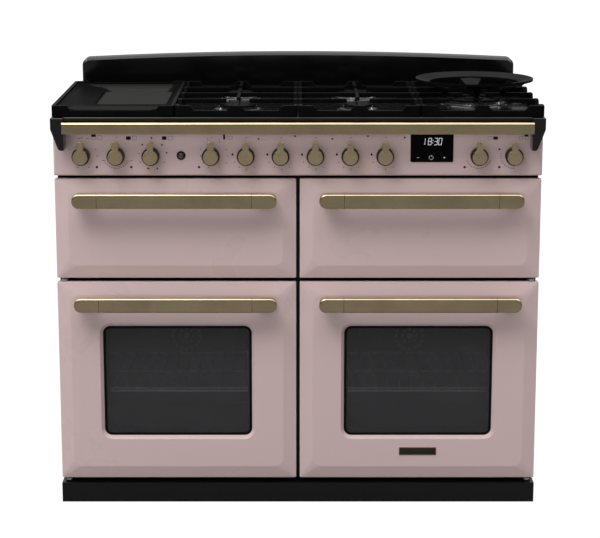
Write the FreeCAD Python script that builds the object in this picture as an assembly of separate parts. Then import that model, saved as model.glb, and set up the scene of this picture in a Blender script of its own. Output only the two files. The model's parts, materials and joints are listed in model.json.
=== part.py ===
import FreeCAD, Part
import math
import os

from FreeCAD import Vector

os.makedirs("parts", exist_ok=True)

# A dual fuel range cooker: hob, four ovens behind four doors, control fascia, towel rail and plinth.
# Lengths are in millimetres. Pieces are drawn with x to the right, y back from the flat door
# fronts and z up from the floor. Saving a piece moves it so that the whole depth is centred.

# Overall sizes
WIDTH = 1092.0
HOB_HEIGHT = 905.0
BODY_DEPTH = 590.0
RAIL_REACH = 60.0
UPSTAND_HEIGHT = 84.0

# The front, from the floor up
PLINTH_LIFT = 4.0
PLINTH_TOP = 50.0
PLINTH_GAP = 10.0
MIDDLE_GAP = 9.0
UPPER_DOOR_HEIGHT = 228.0
FASCIA_GAP = 8.0
FASCIA_HEIGHT = 123.0
DOOR_SPLIT = 8.0
HOB_EDGE = 12.0

# Sheet metal and clearances
SHEET = 1.5
PLATE = 2.0
RUNNING_GAP = 0.05
LOOSE_GAP = 0.3
OVERRUN = 1.0

# Carcass
SIDE_INSET = 3.0
BASE_FLANGE = 25.0
FRAME_FLANGE = 12.0
PLINTH_FLANGE = 60.0
PLINTH_BACK_INSET = 30.0
FOOT_X_INSET = 66.0
FOOT_FRONT_Y = 110.0
FOOT_BACK_INSET = 60.0
FOOT_PAD_R = 22.0
FOOT_PAD_HEIGHT = 8.0
FOOT_STEM_R = 6.0
FOOT_NUT_R = 11.0
FOOT_NUT_HEIGHT = 7.0

# Back panel, gas inlet and bracket holes
INLET_X_INSET = 46.0
INLET_SOCKET_R = 14.0
INLET_BORE_R = 9.3
INLET_BORE_LENGTH = 15.0
INLET_SOCKET_LENGTH = 22.0
BRACKET_HOLE_R = 3.3
BRACKET_HOLE_SPACING = 400.0
BRACKET_HOLE_DROP = 85.0
VENT_SLOT_WIDTH = 60.0
VENT_SLOT_HEIGHT = 5.0
VENT_SLOT_PITCH = 14.0
VENT_SLOT_DROP = 165.0
VENT_SLOTS = 3
VENT_GROUP_X = 260.0

# Doors
DOOR_DEPTH = 40.0
DOOR_BACK_GAP = 4.0
SKIN_DEPTH = 22.0
BORDER_WIDTH = 30.0
BORDER_DROP = 9.0
DOOR_CORNER_R = 6.0
FLAT_CORNER_R = 20.0
PAN_LIP_INSET = 0.5
PAN_INSET = 4.0
PAN_DRAFT = 8.0
PAN_CORNER_R = 12.0

# Door windows
WINDOW_MARGIN_X = 94.5
WINDOW_MARGIN_Z = 96.0
WINDOW_CORNER_R = 24.0
BEVEL_WIDTH = 7.0
BEVEL_DEPTH = 8.0
GLASS_THICKNESS = 4.0
GLASS_LAP = 10.0
INNER_WINDOW_INSET = 17.0

# Handles
HANDLE_MARGIN = 43.4
HANDLE_DROP = 58.6
HANDLE_HEIGHT = 33.6
HANDLE_REACH = 55.0
HANDLE_DEPTH = 22.0
HANDLE_END_R = 13.0
HANDLE_EDGE_R = 6.0
HANDLE_CHAMFER = 2.0
HANDLE_END_LENGTH = 55.6
POST_INSET = 4.0
POST_LENGTH = 42.0
POST_DROP = 9.5
POST_CORNER_R = 6.0

# Drop-down hinges of the upper doors
DROP_PIN_Y = 17.0
DROP_PIN_LIFT = 14.0
DROP_PIN_R = 3.0
DROP_ARM_THICKNESS = 4.0
DROP_ARM_HALF_HEIGHT = 5.0
DROP_ARM_GAP = 0.5
DROP_EAR_WIDTH = 6.0
DROP_EAR_LIFT = 8.0
DROP_EAR_HEIGHT = 16.0
EAR_FRONT = 10.0
EAR_BACK = 30.0
DROP_HINGE_IN_INSET = 26.0
DROP_HINGE_OUT_INSET = 22.0
HINGE_FOOT_HALF_WIDTH = 8.0
HINGE_FOOT_HEIGHT = 30.0

# Side hinges of the lower doors
SIDE_PIN_INSET = 16.0
SIDE_PIN_Y = 16.0
SIDE_PIN_R = 4.0
SIDE_PIN_REACH = 19.0
SIDE_ARM_THICKNESS = 3.5
SIDE_ARM_HALF_WIDTH = 7.0
SIDE_ARM_TOP_GAP = 1.5
SIDE_ARM_BOTTOM_GAP = 2.5
SIDE_BOSS_INSET = 8.0
SIDE_BOSS_WIDTH = 20.0
SIDE_BOSS_HEIGHT = 13.0
SKIN_PIN_HOLE_R = 5.0

# Oven cavities
CAVITY_CENTRE_X = 60.0
CAVITY_SIDE_MARGIN = 46.0
CAVITY_BACK_ROOM = 114.0
LOWER_FLOOR_MARGIN = 45.0
LOWER_ROOF_MARGIN = 50.0
UPPER_FLOOR_MARGIN = 31.0
UPPER_ROOF_MARGIN = 27.0
LINER_FLANGE = 12.0
SEAL_OFFSET = 5.0
SEAL_WIDTH = 5.0
SEAL_GAP = 0.4
SEAL_CORNER_R = 8.0

# Fans and ring elements
FAN_COVER_SHARE = 0.338
FAN_COVER_R = 40.0
FAN_COVER_DEPTH = 40.0
COVER_HOLE_R = 7.0
COVER_RING_R = 34.0
COVER_RINGS = 2
COVER_HOLES = 8
FAN_SHARE = 0.576
FAN_HUB_R = 12.0
FAN_DEPTH = 18.0
FAN_BACK_GAP = 8.0
FAN_BLADES = 8
FAN_SHAFT_R = 4.0
FAN_SHAFT_REACH = 44.0
SHAFT_HOLE_R = 8.0
MOTOR_R = 38.0
MOTOR_LENGTH = 62.0
MOTOR_BORE_LENGTH = 52.0
ELEMENT_R = 3.5
ELEMENT_RING_SHARE = 0.752
ELEMENT_LEAD_SPREAD = 14.0
ELEMENT_LEAD_R = 3.0

# Roof and floor elements
ROOF_ELEMENT_DROP = 17.0
ROOF_ELEMENT_FRONT = 110.0
ROOF_ELEMENT_MARGIN = 70.0
ROOF_ELEMENT_LEGS = 6

# Shelf racks, oven shelves and grill pan
RACK_WIRE_R = 2.5
RACK_WALL_GAP = 6.0
RACK_RUNNER_GAP = 10.0
RACK_FRONT = 84.0
RACK_BACK_GAP = 12.0
RACK_BOTTOM = 20.0
RACK_PITCH = 39.0
RACK_TOP_ROOM = 77.0
SHELF_RUNNER = 3
SHELF_FRONT = 82.0
SHELF_BACK_REACH = 4.0
SHELF_ROD_R = 3.0
SHELF_WIRE_R = 1.6
SHELF_WIRES = 14
SHELF_SIDE_GAP = 12.0
WELD_SINK = 0.6
LEDGE_WIDTH = 15.0
LEDGE_LIFT = 58.0
LEDGE_FRONT = 60.0
PAN_RIM_GAP = 8.0
PAN_BODY_GAP = 18.0
PAN_TRAY_DEPTH = 32.0
PAN_FRONT = 78.0
PAN_BACK_GAP = 36.0
TRAY_CORNER_R = 20.0

# Control fascia
FASCIA_EDGE = 3.0
FASCIA_CORNER_R = 3.5
SPINDLE_HOLE_R = 5.0
KNOB_LIFT = 45.5
LEFT_KNOB_INSET = 63.0
RIGHT_KNOB_INSET = 65.0
LAMP_BAY = 133.8
DISPLAY_BAY = 209.4
KNOB_GROUPS = (3, 6, 2)
KNOB_SKIRT_R = 20.0
KNOB_SKIRT_DEPTH = 9.0
KNOB_NECK_R = 16.0
KNOB_FACE_R = 17.5
KNOB_FACE_DEPTH = 17.0
KNOB_REACH = 35.0
POINTER_WIDTH = 14.0
POINTER_REACH = 35.0
SPINDLE_R = 3.0
SPINDLE_LENGTH = 70.0
VALVE_HALF = 15.0
VALVE_DEPTH = 44.0
VALVE_BORE_DEPTH = 30.0
MANIFOLD_SIZE = 20.0
MANIFOLD_INSET = 40.0
LAMP_CAP_R = 6.0
LAMP_CAP_FRONT = 4.5
LAMP_CAP_BACK = 8.0
LAMP_HOLE_R = 6.4
LAMP_STEM_LENGTH = 66.0
DISPLAY_WIDTH = 95.5
DISPLAY_LIFT = 30.6
DISPLAY_HEIGHT = 66.0
DISPLAY_THICKNESS = 1.2
DISPLAY_CORNER_R = 3.0

# Towel rail and its brackets
RAIL_END_INSET = 26.5
RAIL_DROP = 8.0
RAIL_HEIGHT = 26.0
RAIL_THICKNESS = 14.0
RAIL_EDGE_R = 5.0
BRACKET_INNER_INSET = 29.0
BRACKET_FOOT_INSET = 16.0
BRACKET_TAPER_START = 25.0
BRACKET_DROP = 76.0
BRACKET_FOOT_R = 8.0

# Hob and burners
HOB_OVERHANG = 30.0
HOB_CORNER_R = 6.0
BURNER_HOLE_R = 20.0
BURNER_STEM_R = 19.7
BURNER_STEM_LENGTH = 22.0
BURNER_FLANGE = 6.0
BURNER_FLANGE_HEIGHT = 3.0
CROWN_HEIGHT = 6.0
CAP_HEIGHT = 5.0
CAP_INSET = 2.0
CAP_CHAMFER = 1.5
SMALL_BURNER_R = 34.0
LARGE_BURNER_R = 44.0
WOK_BURNER_R = 64.0
WOK_GROOVE_R = 44.0
WOK_INNER_R = 24.0
GRIDDLE_BURNER_HALF = 27.0
GRIDDLE_BURNER_LENGTH = 230.0
GRIDDLE_HEAD_HEIGHT = 4.0
GRIDDLE_CAP_HEIGHT = 2.5

# Pan supports
SUPPORTS = 4
SUPPORT_FRONT = -23.0
SUPPORT_BACK_INSET = 140.0
SUPPORT_GAP = 0.8
SUPPORT_BAR = 9.0
SUPPORT_CORNER_R = 8.0
SUPPORT_HEIGHT = 25.0
SUPPORT_BAR_HEIGHT = 14.0
LUG_LENGTH = 33.0
LUG_SLOPE = 9.0
ROOT_LUG_HALF = 11.0
FINGER_WIDTH = 8.0
FINGER_HEIGHT = 9.7
FINGER_GAP = 26.0
ROW_SPACING = 112.0
SHORT_FINGER = 60.0

# Griddle plate and wok ring
GRIDDLE_THICKNESS = 3.0
GRIDDLE_FLOOR_LIFT = 8.0
GRIDDLE_RIM_LIFT = 22.0
GRIDDLE_SIDE_GAP = 1.5
GRIDDLE_FLOOR_LEFT = 79.0
GRIDDLE_FLOOR_RIGHT = 16.0
GRIDDLE_FLOOR_FRONT = 118.0
GRIDDLE_FLOOR_BACK = 95.0
GRIDDLE_FLOOR_R = 14.0
GRIDDLE_RIM_R = 18.0
GRIDDLE_LIP_MARGIN = 46.0
GRIDDLE_LIP_DEPTH = 16.0
WOK_OUTER_R = 136.0
WOK_RING_WIDTH = 32.0
WOK_RING_TOP = 60.0
WOK_RING_SLOPE = 9.0
WOK_RING_THICKNESS = 5.0
WOK_ARM_LAP = 8.0
WOK_ARM_INNER_R = 60.0
WOK_ARM_OUTER_WIDTH = 58.0
WOK_ARM_INNER_WIDTH = 26.0
WOK_ARM_INNER_LIFT = 6.0
WOK_FOOT_LENGTH = 14.0
WOK_FOOT_WIDTH = 14.0

# Rear upstand
UPSTAND_DEPTH = 50.0
UPSTAND_SIDE_INSET = 9.0
UPSTAND_ARCH = 13.0
UPSTAND_CORNER_R = 17.0
UPSTAND_CHAMFER = 5.0

# Places that follow from the sizes above
OVERALL_DEPTH = BODY_DEPTH + RAIL_REACH
FRONT = RAIL_REACH - OVERALL_DEPTH / 2.0
HALF = WIDTH / 2.0
FASCIA_Z1 = HOB_HEIGHT - HOB_EDGE
FASCIA_Z0 = FASCIA_Z1 - FASCIA_HEIGHT
UPPER_Z1 = FASCIA_Z0 - FASCIA_GAP
UPPER_Z0 = UPPER_Z1 - UPPER_DOOR_HEIGHT
LOWER_Z1 = UPPER_Z0 - MIDDLE_GAP
LOWER_Z0 = PLINTH_TOP + PLINTH_GAP
DOOR_X0 = DOOR_SPLIT / 2.0
CARCASS_TOP = HOB_HEIGHT - PLATE
SIDE_OUTER = HALF - SIDE_INSET
SIDE_INNER = SIDE_OUTER - SHEET
FRAME_Y = DOOR_DEPTH + DOOR_BACK_GAP
FRAME_BACK = FRAME_Y + PLATE
BACK_PANEL_Y = BODY_DEPTH - SHEET
CAVITY_X1 = HALF - CAVITY_SIDE_MARGIN
CAVITY_MID_X = (CAVITY_CENTRE_X + CAVITY_X1) / 2.0
CAVITY_BACK = BODY_DEPTH - CAVITY_BACK_ROOM
LINER_BACK = CAVITY_BACK + SHEET
LOWER_CAVITY_Z0 = LOWER_Z0 + LOWER_FLOOR_MARGIN
LOWER_CAVITY_Z1 = LOWER_Z1 - LOWER_ROOF_MARGIN
UPPER_CAVITY_Z0 = UPPER_Z0 + UPPER_FLOOR_MARGIN
UPPER_CAVITY_Z1 = UPPER_Z1 - UPPER_ROOF_MARGIN
FAN_Z = (LOWER_CAVITY_Z0 + LOWER_CAVITY_Z1) / 2.0
FAN_COVER_HALF = (LOWER_CAVITY_Z1 - LOWER_CAVITY_Z0) * FAN_COVER_SHARE
FAN_R = FAN_COVER_HALF * FAN_SHARE
ELEMENT_RING_R = FAN_COVER_HALF * ELEMENT_RING_SHARE
FAN_BACK = CAVITY_BACK - FAN_BACK_GAP
FAN_FRONT = FAN_BACK - FAN_DEPTH
RACK_BACK = CAVITY_BACK - FAN_COVER_DEPTH - RACK_BACK_GAP
RACK_ROOM = LOWER_CAVITY_Z1 - LOWER_CAVITY_Z0 - RACK_BOTTOM - RACK_TOP_ROOM
RACK_RUNNERS = 1 + round(RACK_ROOM / RACK_PITCH)
KNOB_Z = FASCIA_Z0 + KNOB_LIFT
KNOB_GAPS = sum(KNOB_GROUPS) - len(KNOB_GROUPS)
KNOB_PITCH = (WIDTH - LEFT_KNOB_INSET - RIGHT_KNOB_INSET - LAMP_BAY - DISPLAY_BAY) / KNOB_GAPS
VALVE_BACK = FRAME_BACK + VALVE_DEPTH
SUPPORT_PITCH = WIDTH / SUPPORTS
SUPPORT_BACK = BODY_DEPTH - SUPPORT_BACK_INSET
SUPPORT_MID = (SUPPORT_FRONT + SUPPORT_BACK) / 2.0
SUPPORT_BASE = HOB_HEIGHT + LOOSE_GAP
SUPPORT_TOP = HOB_HEIGHT + SUPPORT_HEIGHT
BAR_TOP = HOB_HEIGHT + SUPPORT_BAR_HEIGHT


def block(x0, x1, y0, y1, z0, z1):
    """Box between two corners."""
    return Part.makeBox(x1 - x0, y1 - y0, z1 - z0, Vector(x0, y0, z0))


def rod(start, end, radius):
    """Round bar from one point to another."""
    run = end - start
    return Part.makeCylinder(radius, run.Length, start, run)


def joined(shapes):
    """Union of overlapping shapes, without seams between coplanar faces."""
    return shapes[0].fuse(shapes[1:]).removeSplitter()


def mirrored(shape):
    """The same piece for the other half of the cooker."""
    return shape.mirror(Vector(0, 0, 0), Vector(1, 0, 0))


def rounded_wire(a0, a1, b0, b1, radius, place):
    """Rectangle with round corners; place(a, b) turns its two coordinates into a point."""
    inset = radius * (1.0 - math.sqrt(0.5))
    corners = [
        ((a0, b0 + radius), (a0 + inset, b0 + inset), (a0 + radius, b0)),
        ((a1 - radius, b0), (a1 - inset, b0 + inset), (a1, b0 + radius)),
        ((a1, b1 - radius), (a1 - inset, b1 - inset), (a1 - radius, b1)),
        ((a0 + radius, b1), (a0 + inset, b1 - inset), (a0, b1 - radius)),
    ]
    edges = []
    for number, corner in enumerate(corners):
        start, middle, end = [place(*point) for point in corner]
        following = place(*corners[(number + 1) % len(corners)][0])
        edges.append(Part.Arc(start, middle, end).toShape())
        edges.append(Part.makeLine(end, following))
    return Part.Wire(edges)


def upright_wire(x0, x1, z0, z1, radius, y):
    return rounded_wire(x0, x1, z0, z1, radius, lambda a, b: Vector(a, y, b))


def level_wire(x0, x1, y0, y1, radius, z):
    return rounded_wire(x0, x1, y0, y1, radius, lambda a, b: Vector(a, b, z))


def upright_plate(x0, x1, z0, z1, radius, y0, y1):
    """Round-cornered plate seen from the front, from depth y0 to y1."""
    face = Part.Face(upright_wire(x0, x1, z0, z1, radius, y0))
    return face.extrude(Vector(0, y1 - y0, 0))


def level_plate(x0, x1, y0, y1, radius, z0, z1):
    """Round-cornered plate seen from above, from height z0 to z1."""
    face = Part.Face(level_wire(x0, x1, y0, y1, radius, z0))
    return face.extrude(Vector(0, 0, z1 - z0))


def prism_along_x(points, x0, x1):
    """Prism whose side outline is given as (y, z) points."""
    wire = Part.makePolygon([Vector(x0, y, z) for y, z in points + points[:1]])
    return Part.Face(wire).extrude(Vector(x1 - x0, 0, 0))


def prism_along_y(points, y0, y1):
    """Prism whose front outline is given as (x, z) points."""
    wire = Part.makePolygon([Vector(x, y0, z) for x, z in points + points[:1]])
    return Part.Face(wire).extrude(Vector(0, y1 - y0, 0))


def bent_rod(points, radius):
    """Rod through several points, with a ball at each bend."""
    pieces = []
    for start, end in zip(points, points[1:]):
        pieces.append(rod(start, end, radius))
    for point in points[1:-1]:
        pieces.append(Part.makeSphere(radius, point))
    return joined(pieces)


def save(node, shapes):
    """Write one sub-part, moved so that the depth is centred, and report its solids."""
    solids = []
    for shape in shapes:
        solids.extend(shape.Solids)
    whole = Part.makeCompound(solids)
    whole.translate(Vector(0, FRONT, 0))
    whole.exportStep("parts/" + node + ".step")
    state = "valid" if whole.isValid() else "NOT VALID"
    print(node, len(solids), "solids,", round(whole.Volume / 1000.0, 1), "cm3,", state)


def plinth():
    board = block(-HALF, HALF, 0, PLATE, PLINTH_LIFT, PLINTH_TOP)
    flange = block(-HALF, HALF, 0, PLINTH_FLANGE, PLINTH_TOP - PLATE, PLINTH_TOP)
    right = block(HALF - PLATE, HALF, 0, BODY_DEPTH - PLINTH_BACK_INSET, PLINTH_LIFT, PLINTH_TOP)
    return [joined([board, flange, right, mirrored(right)])]


def base_frame():
    inner = SIDE_INNER - PLATE
    tray = block(-SIDE_INNER, SIDE_INNER, FRAME_BACK, BACK_PANEL_Y, PLINTH_TOP, PLINTH_TOP + BASE_FLANGE)
    hollow = block(-inner, inner, FRAME_BACK + PLATE, BACK_PANEL_Y - PLATE,
                   PLINTH_TOP + PLATE, PLINTH_TOP + BASE_FLANGE + OVERRUN)
    rib = block(-PLATE, PLATE, FRAME_BACK, BACK_PANEL_Y, PLINTH_TOP, PLINTH_TOP + BASE_FLANGE)
    return [joined([tray.cut(hollow), rib])]


def levelling_feet():
    feet = []
    for side in (-1, 1):
        for y in (FOOT_FRONT_Y, BODY_DEPTH - FOOT_BACK_INSET):
            floor = Vector(side * (HALF - FOOT_X_INSET), y, 0)
            under_base = Vector(floor.x, y, PLINTH_TOP)
            nut_seat = Vector(floor.x, y, PLINTH_TOP - FOOT_NUT_HEIGHT)
            pad = Part.makeCylinder(FOOT_PAD_R, FOOT_PAD_HEIGHT, floor)
            nut = rod(nut_seat, under_base, FOOT_NUT_R)
            feet.append(joined([pad, rod(floor, under_base, FOOT_STEM_R), nut]))
    return feet


def side_panels():
    panel = block(SIDE_INNER, SIDE_OUTER, FRAME_Y, BODY_DEPTH, PLINTH_TOP, CARCASS_TOP)
    return [panel, mirrored(panel)]


def inlet_x():
    return HALF - INLET_X_INSET


def back_panel():
    sheet = block(-SIDE_INNER, SIDE_INNER, BACK_PANEL_Y, BODY_DEPTH, PLINTH_TOP, CARCASS_TOP)
    y0 = BACK_PANEL_Y - OVERRUN
    y1 = BODY_DEPTH + OVERRUN
    holes = [rod(Vector(inlet_x(), y0, KNOB_Z), Vector(inlet_x(), y1, KNOB_Z), INLET_SOCKET_R + LOOSE_GAP)]
    for side in (-1, 1):
        x = side * BRACKET_HOLE_SPACING / 2.0
        z = HOB_HEIGHT - BRACKET_HOLE_DROP
        holes.append(rod(Vector(x, y0, z), Vector(x, y1, z), BRACKET_HOLE_R))
        for row in range(VENT_SLOTS):
            for column in (-1, 0, 1):
                x = side * VENT_GROUP_X + column * (VENT_SLOT_WIDTH + VENT_SLOT_PITCH)
                z = HOB_HEIGHT - VENT_SLOT_DROP + row * VENT_SLOT_PITCH
                holes.append(block(x - VENT_SLOT_WIDTH / 2.0, x + VENT_SLOT_WIDTH / 2.0, y0, y1,
                                   z, z + VENT_SLOT_HEIGHT))
    return [sheet.cut(holes)]


def knob_places():
    """Centres of the eleven knobs, from left to right, in three groups."""
    places = []
    x = LEFT_KNOB_INSET - HALF
    for count, bay in zip(KNOB_GROUPS, (LAMP_BAY, DISPLAY_BAY, 0)):
        places.extend([x + number * KNOB_PITCH for number in range(count)])
        x = places[-1] + bay
    return places


def lamp_x():
    """The lamp button sits halfway between the left and the middle group."""
    return knob_places()[KNOB_GROUPS[0] - 1] + LAMP_BAY / 2.0


def display_x():
    """Left edge of the display, which is centred between the middle and the right group."""
    centre = knob_places()[KNOB_GROUPS[0] + KNOB_GROUPS[1] - 1] + DISPLAY_BAY / 2.0
    return centre - DISPLAY_WIDTH / 2.0


def front_hole(x, z, radius, y0, y1):
    return rod(Vector(x, y0 - OVERRUN, z), Vector(x, y1 + OVERRUN, z), radius)


def front_frame():
    plate = block(-SIDE_INNER, SIDE_INNER, FRAME_Y, FRAME_BACK, PLINTH_TOP, CARCASS_TOP)
    flange = block(SIDE_INNER - PLATE, SIDE_INNER, FRAME_Y, FRAME_BACK + FRAME_FLANGE,
                   PLINTH_TOP + BASE_FLANGE + PLATE, CARCASS_TOP)
    frame = joined([plate, flange, mirrored(flange)])
    openings = []
    for z0, z1 in ((LOWER_CAVITY_Z0, LOWER_CAVITY_Z1), (UPPER_CAVITY_Z0, UPPER_CAVITY_Z1)):
        opening = block(CAVITY_CENTRE_X, CAVITY_X1, FRAME_Y - OVERRUN, FRAME_BACK + OVERRUN, z0, z1)
        openings.extend([opening, mirrored(opening)])
    for x in knob_places() + [lamp_x()]:
        openings.append(front_hole(x, KNOB_Z, SPINDLE_HOLE_R, FRAME_Y, FRAME_BACK))
    return frame.cut(openings)


def drop_hinge_places():
    """Centres of the two hinges of the right-hand upper door."""
    return [DOOR_X0 + DROP_HINGE_IN_INSET, HALF - DROP_HINGE_OUT_INSET]


def drop_pin_z():
    return UPPER_Z0 + DROP_PIN_LIFT


def drop_hinges():
    """Arms that reach forward from the frame into the upper doors, each with its pin."""
    hinges = []
    z = drop_pin_z()
    for x in drop_hinge_places():
        arm = block(x - DROP_ARM_THICKNESS / 2.0, x + DROP_ARM_THICKNESS / 2.0, DROP_PIN_Y, FRAME_Y,
                    z - DROP_ARM_HALF_HEIGHT, z + DROP_ARM_HALF_HEIGHT)
        eye = rod(Vector(x - DROP_ARM_THICKNESS / 2.0, DROP_PIN_Y, z),
                  Vector(x + DROP_ARM_THICKNESS / 2.0, DROP_PIN_Y, z), DROP_ARM_HALF_HEIGHT)
        reach = DROP_ARM_THICKNESS / 2.0 + DROP_ARM_GAP + DROP_EAR_WIDTH
        pin = rod(Vector(x - reach, DROP_PIN_Y, z), Vector(x + reach, DROP_PIN_Y, z), DROP_PIN_R)
        foot = block(x - HINGE_FOOT_HALF_WIDTH, x + HINGE_FOOT_HALF_WIDTH, FRAME_Y - PLATE, FRAME_Y,
                     z - DROP_ARM_HALF_HEIGHT, z - DROP_ARM_HALF_HEIGHT + HINGE_FOOT_HEIGHT)
        hinge = joined([arm, eye, pin, foot])
        hinges.extend([hinge, mirrored(hinge)])
    return hinges


def side_hinges():
    """Arms above and below the lower doors, each with an upright pin that enters the door."""
    hinges = []
    x = HALF - SIDE_PIN_INSET
    top_z0 = LOWER_Z1 + SIDE_ARM_TOP_GAP
    bottom_z1 = LOWER_Z0 - SIDE_ARM_BOTTOM_GAP
    arms = (
        (top_z0, top_z0 + SIDE_ARM_THICKNESS, top_z0, LOWER_Z1 - SIDE_PIN_REACH,
         top_z0 + SIDE_ARM_THICKNESS - HINGE_FOOT_HEIGHT),
        (bottom_z1 - SIDE_ARM_THICKNESS, bottom_z1, bottom_z1, LOWER_Z0 + SIDE_PIN_REACH,
         bottom_z1 - SIDE_ARM_THICKNESS),
    )
    for z0, z1, pin_start, pin_end, foot_z0 in arms:
        arm = block(x - SIDE_ARM_HALF_WIDTH, x + SIDE_ARM_HALF_WIDTH, SIDE_PIN_Y, FRAME_Y, z0, z1)
        eye = rod(Vector(x, SIDE_PIN_Y, z0), Vector(x, SIDE_PIN_Y, z1), SIDE_ARM_HALF_WIDTH)
        pin = rod(Vector(x, SIDE_PIN_Y, (z0 + z1) / 2.0), Vector(x, SIDE_PIN_Y, pin_end), SIDE_PIN_R)
        foot = block(x - SIDE_ARM_HALF_WIDTH, x + SIDE_ARM_HALF_WIDTH, FRAME_Y - PLATE, FRAME_Y,
                     foot_z0, foot_z0 + HINGE_FOOT_HEIGHT)
        hinge = joined([arm, eye, pin, foot])
        hinges.extend([hinge, mirrored(hinge)])
    return hinges


def liner(z0, z1):
    """Open-fronted oven box of the right-hand half: floor, roof, two walls and back, welded at the edges.

    The floor, roof and walls turn outwards at the front into a flange behind the front frame.
    """
    x0 = CAVITY_CENTRE_X - SHEET
    x1 = CAVITY_X1 + SHEET
    low = z0 - SHEET
    high = z1 + SHEET
    reach = LINER_FLANGE - SHEET
    lip = FRAME_BACK + SHEET
    floor = block(x0, x1, FRAME_BACK, CAVITY_BACK, low, z0)
    roof = block(x0, x1, FRAME_BACK, CAVITY_BACK, z1, high)
    near = block(x0, CAVITY_CENTRE_X, FRAME_BACK, CAVITY_BACK, z0, z1)
    far = block(CAVITY_X1, x1, FRAME_BACK, CAVITY_BACK, z0, z1)
    floor_lip = block(x0 - reach, x1 + reach, FRAME_BACK, lip, low - reach, low)
    roof_lip = block(x0 - reach, x1 + reach, FRAME_BACK, lip, high, high + reach)
    near_lip = block(x0 - reach, x0, FRAME_BACK, lip, z0, z1)
    far_lip = block(x1, x1 + reach, FRAME_BACK, lip, z0, z1)
    back = block(x0, x1, CAVITY_BACK, LINER_BACK, low, high)
    return [joined([floor, floor_lip]), joined([roof, roof_lip]), joined([near, near_lip]),
            joined([far, far_lip]), back]


def lower_liner():
    """Lower oven box; the fan shaft passes through its back."""
    shell = liner(LOWER_CAVITY_Z0, LOWER_CAVITY_Z1)
    back = shell.pop()
    return shell + [back.cut(front_hole(CAVITY_MID_X, FAN_Z, SHAFT_HOLE_R, CAVITY_BACK, LINER_BACK))]


def upper_liner():
    """Upper oven box with a ledge along each side for a pan or shelf."""
    z1 = UPPER_CAVITY_Z0 + LEDGE_LIFT
    inner = block(CAVITY_CENTRE_X, CAVITY_CENTRE_X + LEDGE_WIDTH, LEDGE_FRONT, CAVITY_BACK,
                  z1 - PLATE, z1)
    outer = block(CAVITY_X1 - LEDGE_WIDTH, CAVITY_X1, LEDGE_FRONT, CAVITY_BACK, z1 - PLATE, z1)
    return liner(UPPER_CAVITY_Z0, UPPER_CAVITY_Z1) + [inner, outer]


def door_seal(z0, z1):
    near = SEAL_OFFSET
    far = SEAL_OFFSET + SEAL_WIDTH
    y0 = DOOR_DEPTH + SEAL_GAP
    ring = upright_plate(CAVITY_CENTRE_X - far, CAVITY_X1 + far, z0 - far, z1 + far,
                         SEAL_CORNER_R + SEAL_WIDTH, y0, FRAME_Y)
    hole = upright_plate(CAVITY_CENTRE_X - near, CAVITY_X1 + near, z0 - near, z1 + near,
                         SEAL_CORNER_R, y0 - OVERRUN, FRAME_Y + OVERRUN)
    return ring.cut(hole)


def door_seals():
    lower = door_seal(LOWER_CAVITY_Z0, LOWER_CAVITY_Z1)
    upper = door_seal(UPPER_CAVITY_Z0, UPPER_CAVITY_Z1)
    return [lower, mirrored(lower), upper, mirrored(upper)]


def raised_form(x0, x1, z0, z1, inset, y_front, y_back):
    """The door front's outer form: flat centre, sloping border and straight edge."""
    stages = (
        (inset, y_back, DOOR_CORNER_R),
        (inset, y_front + BORDER_DROP, DOOR_CORNER_R),
        (inset + BORDER_WIDTH, y_front, FLAT_CORNER_R),
    )
    wires = [upright_wire(x0 + i, x1 - i, z0 + i, z1 - i, r, y) for i, y, r in stages]
    return Part.makeLoft(wires, True, True)


def door_skin(x0, x1, z0, z1):
    outer = raised_form(x0, x1, z0, z1, 0, 0, SKIN_DEPTH)
    inner = raised_form(x0, x1, z0, z1, SHEET, SHEET, SKIN_DEPTH + OVERRUN)
    return outer.cut(inner)


def window_wire(x0, x1, z0, z1, inset, y):
    radius = WINDOW_CORNER_R - min(inset, BEVEL_WIDTH)
    return upright_wire(x0 + WINDOW_MARGIN_X + inset, x1 - WINDOW_MARGIN_X - inset,
                        z0 + WINDOW_MARGIN_Z + inset, z1 - WINDOW_MARGIN_Z - inset, radius, y)


def window_taper(x0, x1, z0, z1, grow, y0, y1):
    """Opening that narrows from the door front towards the glass."""
    wires = []
    for y in (y0, y1):
        wires.append(window_wire(x0, x1, z0, z1, BEVEL_WIDTH * y / BEVEL_DEPTH - grow, y))
    return Part.makeLoft(wires, True, True)


def windowed_skin(x0, x1, z0, z1):
    collar = window_taper(x0, x1, z0, z1, SHEET, 0, BEVEL_DEPTH)
    hole = window_taper(x0, x1, z0, z1, 0, -OVERRUN, BEVEL_DEPTH + OVERRUN)
    return joined([door_skin(x0, x1, z0, z1), collar]).cut(hole)


def window_glass(x0, x1, z0, z1):
    """Outer pane behind the bevel and inner pane in the door's back."""
    lap = GLASS_LAP - BEVEL_WIDTH
    wire = window_wire(x0, x1, z0, z1, -lap, BEVEL_DEPTH)
    outer = Part.Face(wire).extrude(Vector(0, GLASS_THICKNESS, 0))
    y0 = DOOR_DEPTH - SHEET - GLASS_THICKNESS
    inner = Part.Face(window_wire(x0, x1, z0, z1, -lap, y0)).extrude(Vector(0, GLASS_THICKNESS, 0))
    return [outer, inner]


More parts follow.
